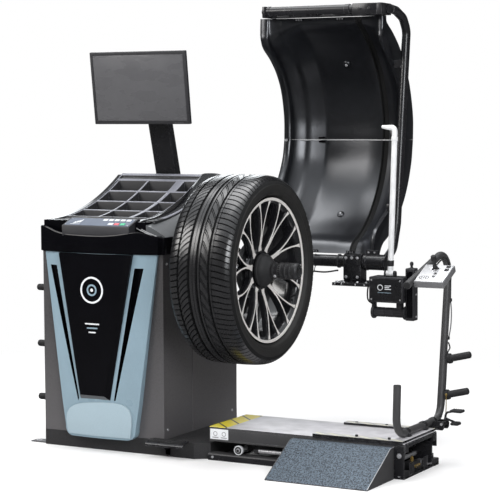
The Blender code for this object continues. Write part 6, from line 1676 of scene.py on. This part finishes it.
# ---------------------------------------------------------------- small pieces on the cabinet
def cabinet_details():
    for name in ("side_peg_top", "side_peg_middle", "side_peg_low"):
        low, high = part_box(name)
        wall, y, z = high.x, (low.y + high.y) / 2, (low.z + high.z) / 2 - 0.01
        length = high.x - low.x - 0.012
        profile = [(0.0, 0.0), (0.0, 0.0205), (-0.0012, 0.022), (-0.0048, 0.0218), (-0.0065, 0.0195), (-0.0075, 0.0155),
                   (-0.010, 0.0136), (-0.022, 0.0133), (-0.0225, 0.0129), (-0.0245, 0.0129), (-0.025, 0.0133),
                   (-length + 0.0085, 0.013), (-length + 0.003, 0.0118), (-length + 0.0005, 0.009), (-length, 0.0055), (-length, 0.0)]
        form = Form().take(turned([(wall + along, radius) for along, radius in reversed(profile)], (0, y, z), "X", 44), RUBBER)
        form.piece(name + "_sleeve", "base", [name], "rubber")

    low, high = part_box("brake_pedal")
    y, z = JOINTS["brake_pedal_press"]["pos_m"][1:]
    tread = [(low.y, 0.0455), (low.y + 0.0028, 0.045), (low.y + 0.0045, 0.0505), (low.y + 0.008, 0.0545), (low.y + 0.03, 0.0595),
             (-0.2885, 0.0635), (-0.2865, 0.0655), (-0.2882, 0.0678), (-0.31, 0.0648), (low.y + 0.009, 0.0595), (low.y + 0.003, 0.0565),
             (low.y, 0.052)]
    form = Form().take(prism(tread, "X", low.x, high.x, 0.0012, 2, 30), BLACK)
    slope = Vector((0, -0.2882 + 0.327, 0.0678 - 0.0598)).normalized()
    for k in range(5):
        at = Vector((0, -0.3255, 0.0608)) + slope * 0.0075 * k
        bar = block((low.x + 0.012, at.y - 0.0018, at.z - 0.0012), (high.x - 0.012, at.y + 0.0018, at.z + 0.0016), 0.0007)
        form.take(bar, RUBBER)
    arm = [(-0.325, 0.05), (-0.3, 0.028), (y, z - 0.008), (y + 0.0075, z - 0.003), (y + 0.01, z), (y + 0.0075, z + 0.003),
           (y, z + 0.008), (-0.295, 0.04), (-0.305, 0.062)]
    form.take(prism(arm, "X", 0.28, 0.29, 0.001), BLACK)
    form.take(rod((0.272, y, z), (0.298, y, z), 0.012, 32, 0.001), CASTING)
    form.piece("brake_pedal_plate", "pedal", ["brake_pedal"], "black_paint")

    form = Form()
    wall = 0.2701
    for height in (0.095, 0.72):
        for y in (-0.255, 0.24):
            cap_screw(form, (wall - 0.0003, y, height), (1, 0, 0), 0.0048)
    for height in (0.10, 0.71):
        for x in (-0.25, 0.25):
            cap_screw(form, (x, 0.2828, height), (0, 1, 0), 0.0048)
    ring = [(0.2699, 0.0535), (0.2715, 0.0535), (0.2722, 0.0542), (0.2722, 0.0605), (0.2712, 0.0615), (0.2699, 0.0615)]
    form.take(turned(ring, (0, SPINDLE.y, SPINDLE.z), "X", 72, ring=True), CASTING)
    form.take(block((-0.237, 0.2826, 0.62), (-0.148, 0.2848, 0.7), 0.0008), BLACK)
    form.take(block((-0.226, 0.2846, 0.645), (-0.188, 0.2875, 0.678), 0.0012), GLOSS)
    form.take(block((-0.219, 0.2873, 0.652), (-0.195, 0.2905, 0.671), 0.0016), RED_KEY)
    form.take(rod((-0.166, 0.2845, 0.66), (-0.166, 0.2985, 0.66), 0.0105, 6, 0.001), CASTING)
    supply = smooth_path([(-0.166, 0.296, 0.66), (-0.166, 0.314, 0.652), (-0.168, 0.318, 0.61), (-0.172, 0.3, 0.48), (-0.168, 0.2925, 0.3),
                          (-0.165, 0.2925, 0.14), (-0.164, 0.292, 0.03)], 8)
    form.take(swept(supply, 0.0042, 14), RUBBER)
    ring = [(0.0041, 0.0080), (0.0041, 0.0125), (0.0052, 0.0125), (0.0060, 0.0115), (0.0060, 0.0088), (0.0052, 0.0080)]
    form.take(turned(ring, (-0.327, -0.242, 0.0), "Z", 36, ring=True), STEEL)
    form.piece("cabinet_fittings", "base", slot="bright_steel")


# ---------------------------------------------------------------- CAD nodes that keep their shape
NODE_FINISH = {
    CABINET_PAINT: ("cabinet_shell", "rear_panel"),
    PLINTH_PAINT: ("base_plinth",),
    BLACK: ("monitor_post", "hood_pivot_bracket", "hood_pivot_bar", "gauge_clamp_block", "brake_pedal", "lift_base",
            "scissor_outer", "scissor_inner", "lift_cylinder", "foot_lever", "hood_sleeve_left",
            "hood_sleeve_right", "hood_top_bar"),
    TEXTURED: ("gauge_box", "gauge_column", "gauge_guide_bar", "inner_gauge_slider", "keypad_panel",
               "monitor_housing"),
    TUBE_GREY: ("lift_handle_tube", "hood_frame_tube"),
    SCREEN: ("monitor_screen",),
    CASTING: ("spindle_housing", "housing_pedestal", "spindle_pulley", "drive_motor"),
    STEEL: ("bearing_front", "bearing_rear", "brake_lever", "motor_pulley", "joystick_gimbal"),
    TURNED_STEEL: ("spindle_shaft", "backing_flange"),
    ARM_METAL: ("inner_gauge_arm", "outer_gauge_arm"),
    RUBBER: ("side_peg_top", "side_peg_middle", "side_peg_low", "drive_belt", "joystick", "post_peg_upper",
             "post_peg_lower"),
    GRIT: ("lift_ramp",),
    DECK: ("lift_platform", "lift_table"),
    SILVER_AND_HIGHLIGHT: ("control_box", "scissor_roller"),
    GLOSS: ("console_cover", "front_centre_panel"),
    TRAY: ("weight_tray",),
    TRIM: ("front_trim",),
    HOOD: ("hood_shell_upper", "hood_shell_lower"),
}
SOFTENED = {"base_plinth": 0.0015, "cabinet_shell": 0.0012, "monitor_post": 0.0012, "hood_pivot_bracket": 0.0015,
            "gauge_clamp_block": 0.0015, "gauge_box": 0.0015, "lift_base": 0.0015, "lift_platform": 0.0015,
            "lift_table": 0.0012, "lift_ramp": 0.001, "control_box": 0.0015, "brake_pedal": 0.001}


def finish_nodes():
    for material, names in NODE_FINISH.items():
        for name in names:
            node = frame["nodes"][name]
            node.data.materials.clear()
            node.data.materials.append(material)
            if name in SOFTENED:
                bevel = node.modifiers.new("softened_edges", "BEVEL")
                bevel.width = SOFTENED[name]
                bevel.segments = 2
                bevel.limit_method = "ANGLE"
                bevel.angle_limit = math.radians(35)
                bevel.harden_normals = False


front_trim()
centre_panel()
console()
tray()
keypad()
monitor()
monitor_stand()
hood()
hood_frame()
hood_pivot()
gauge()
inner_gauge()
lift()
scissors()
carriage()
controls()
foot_control()
cabinet_details()
tyre()
rim()
spindle_group()
finish_nodes()
studio()
camera()
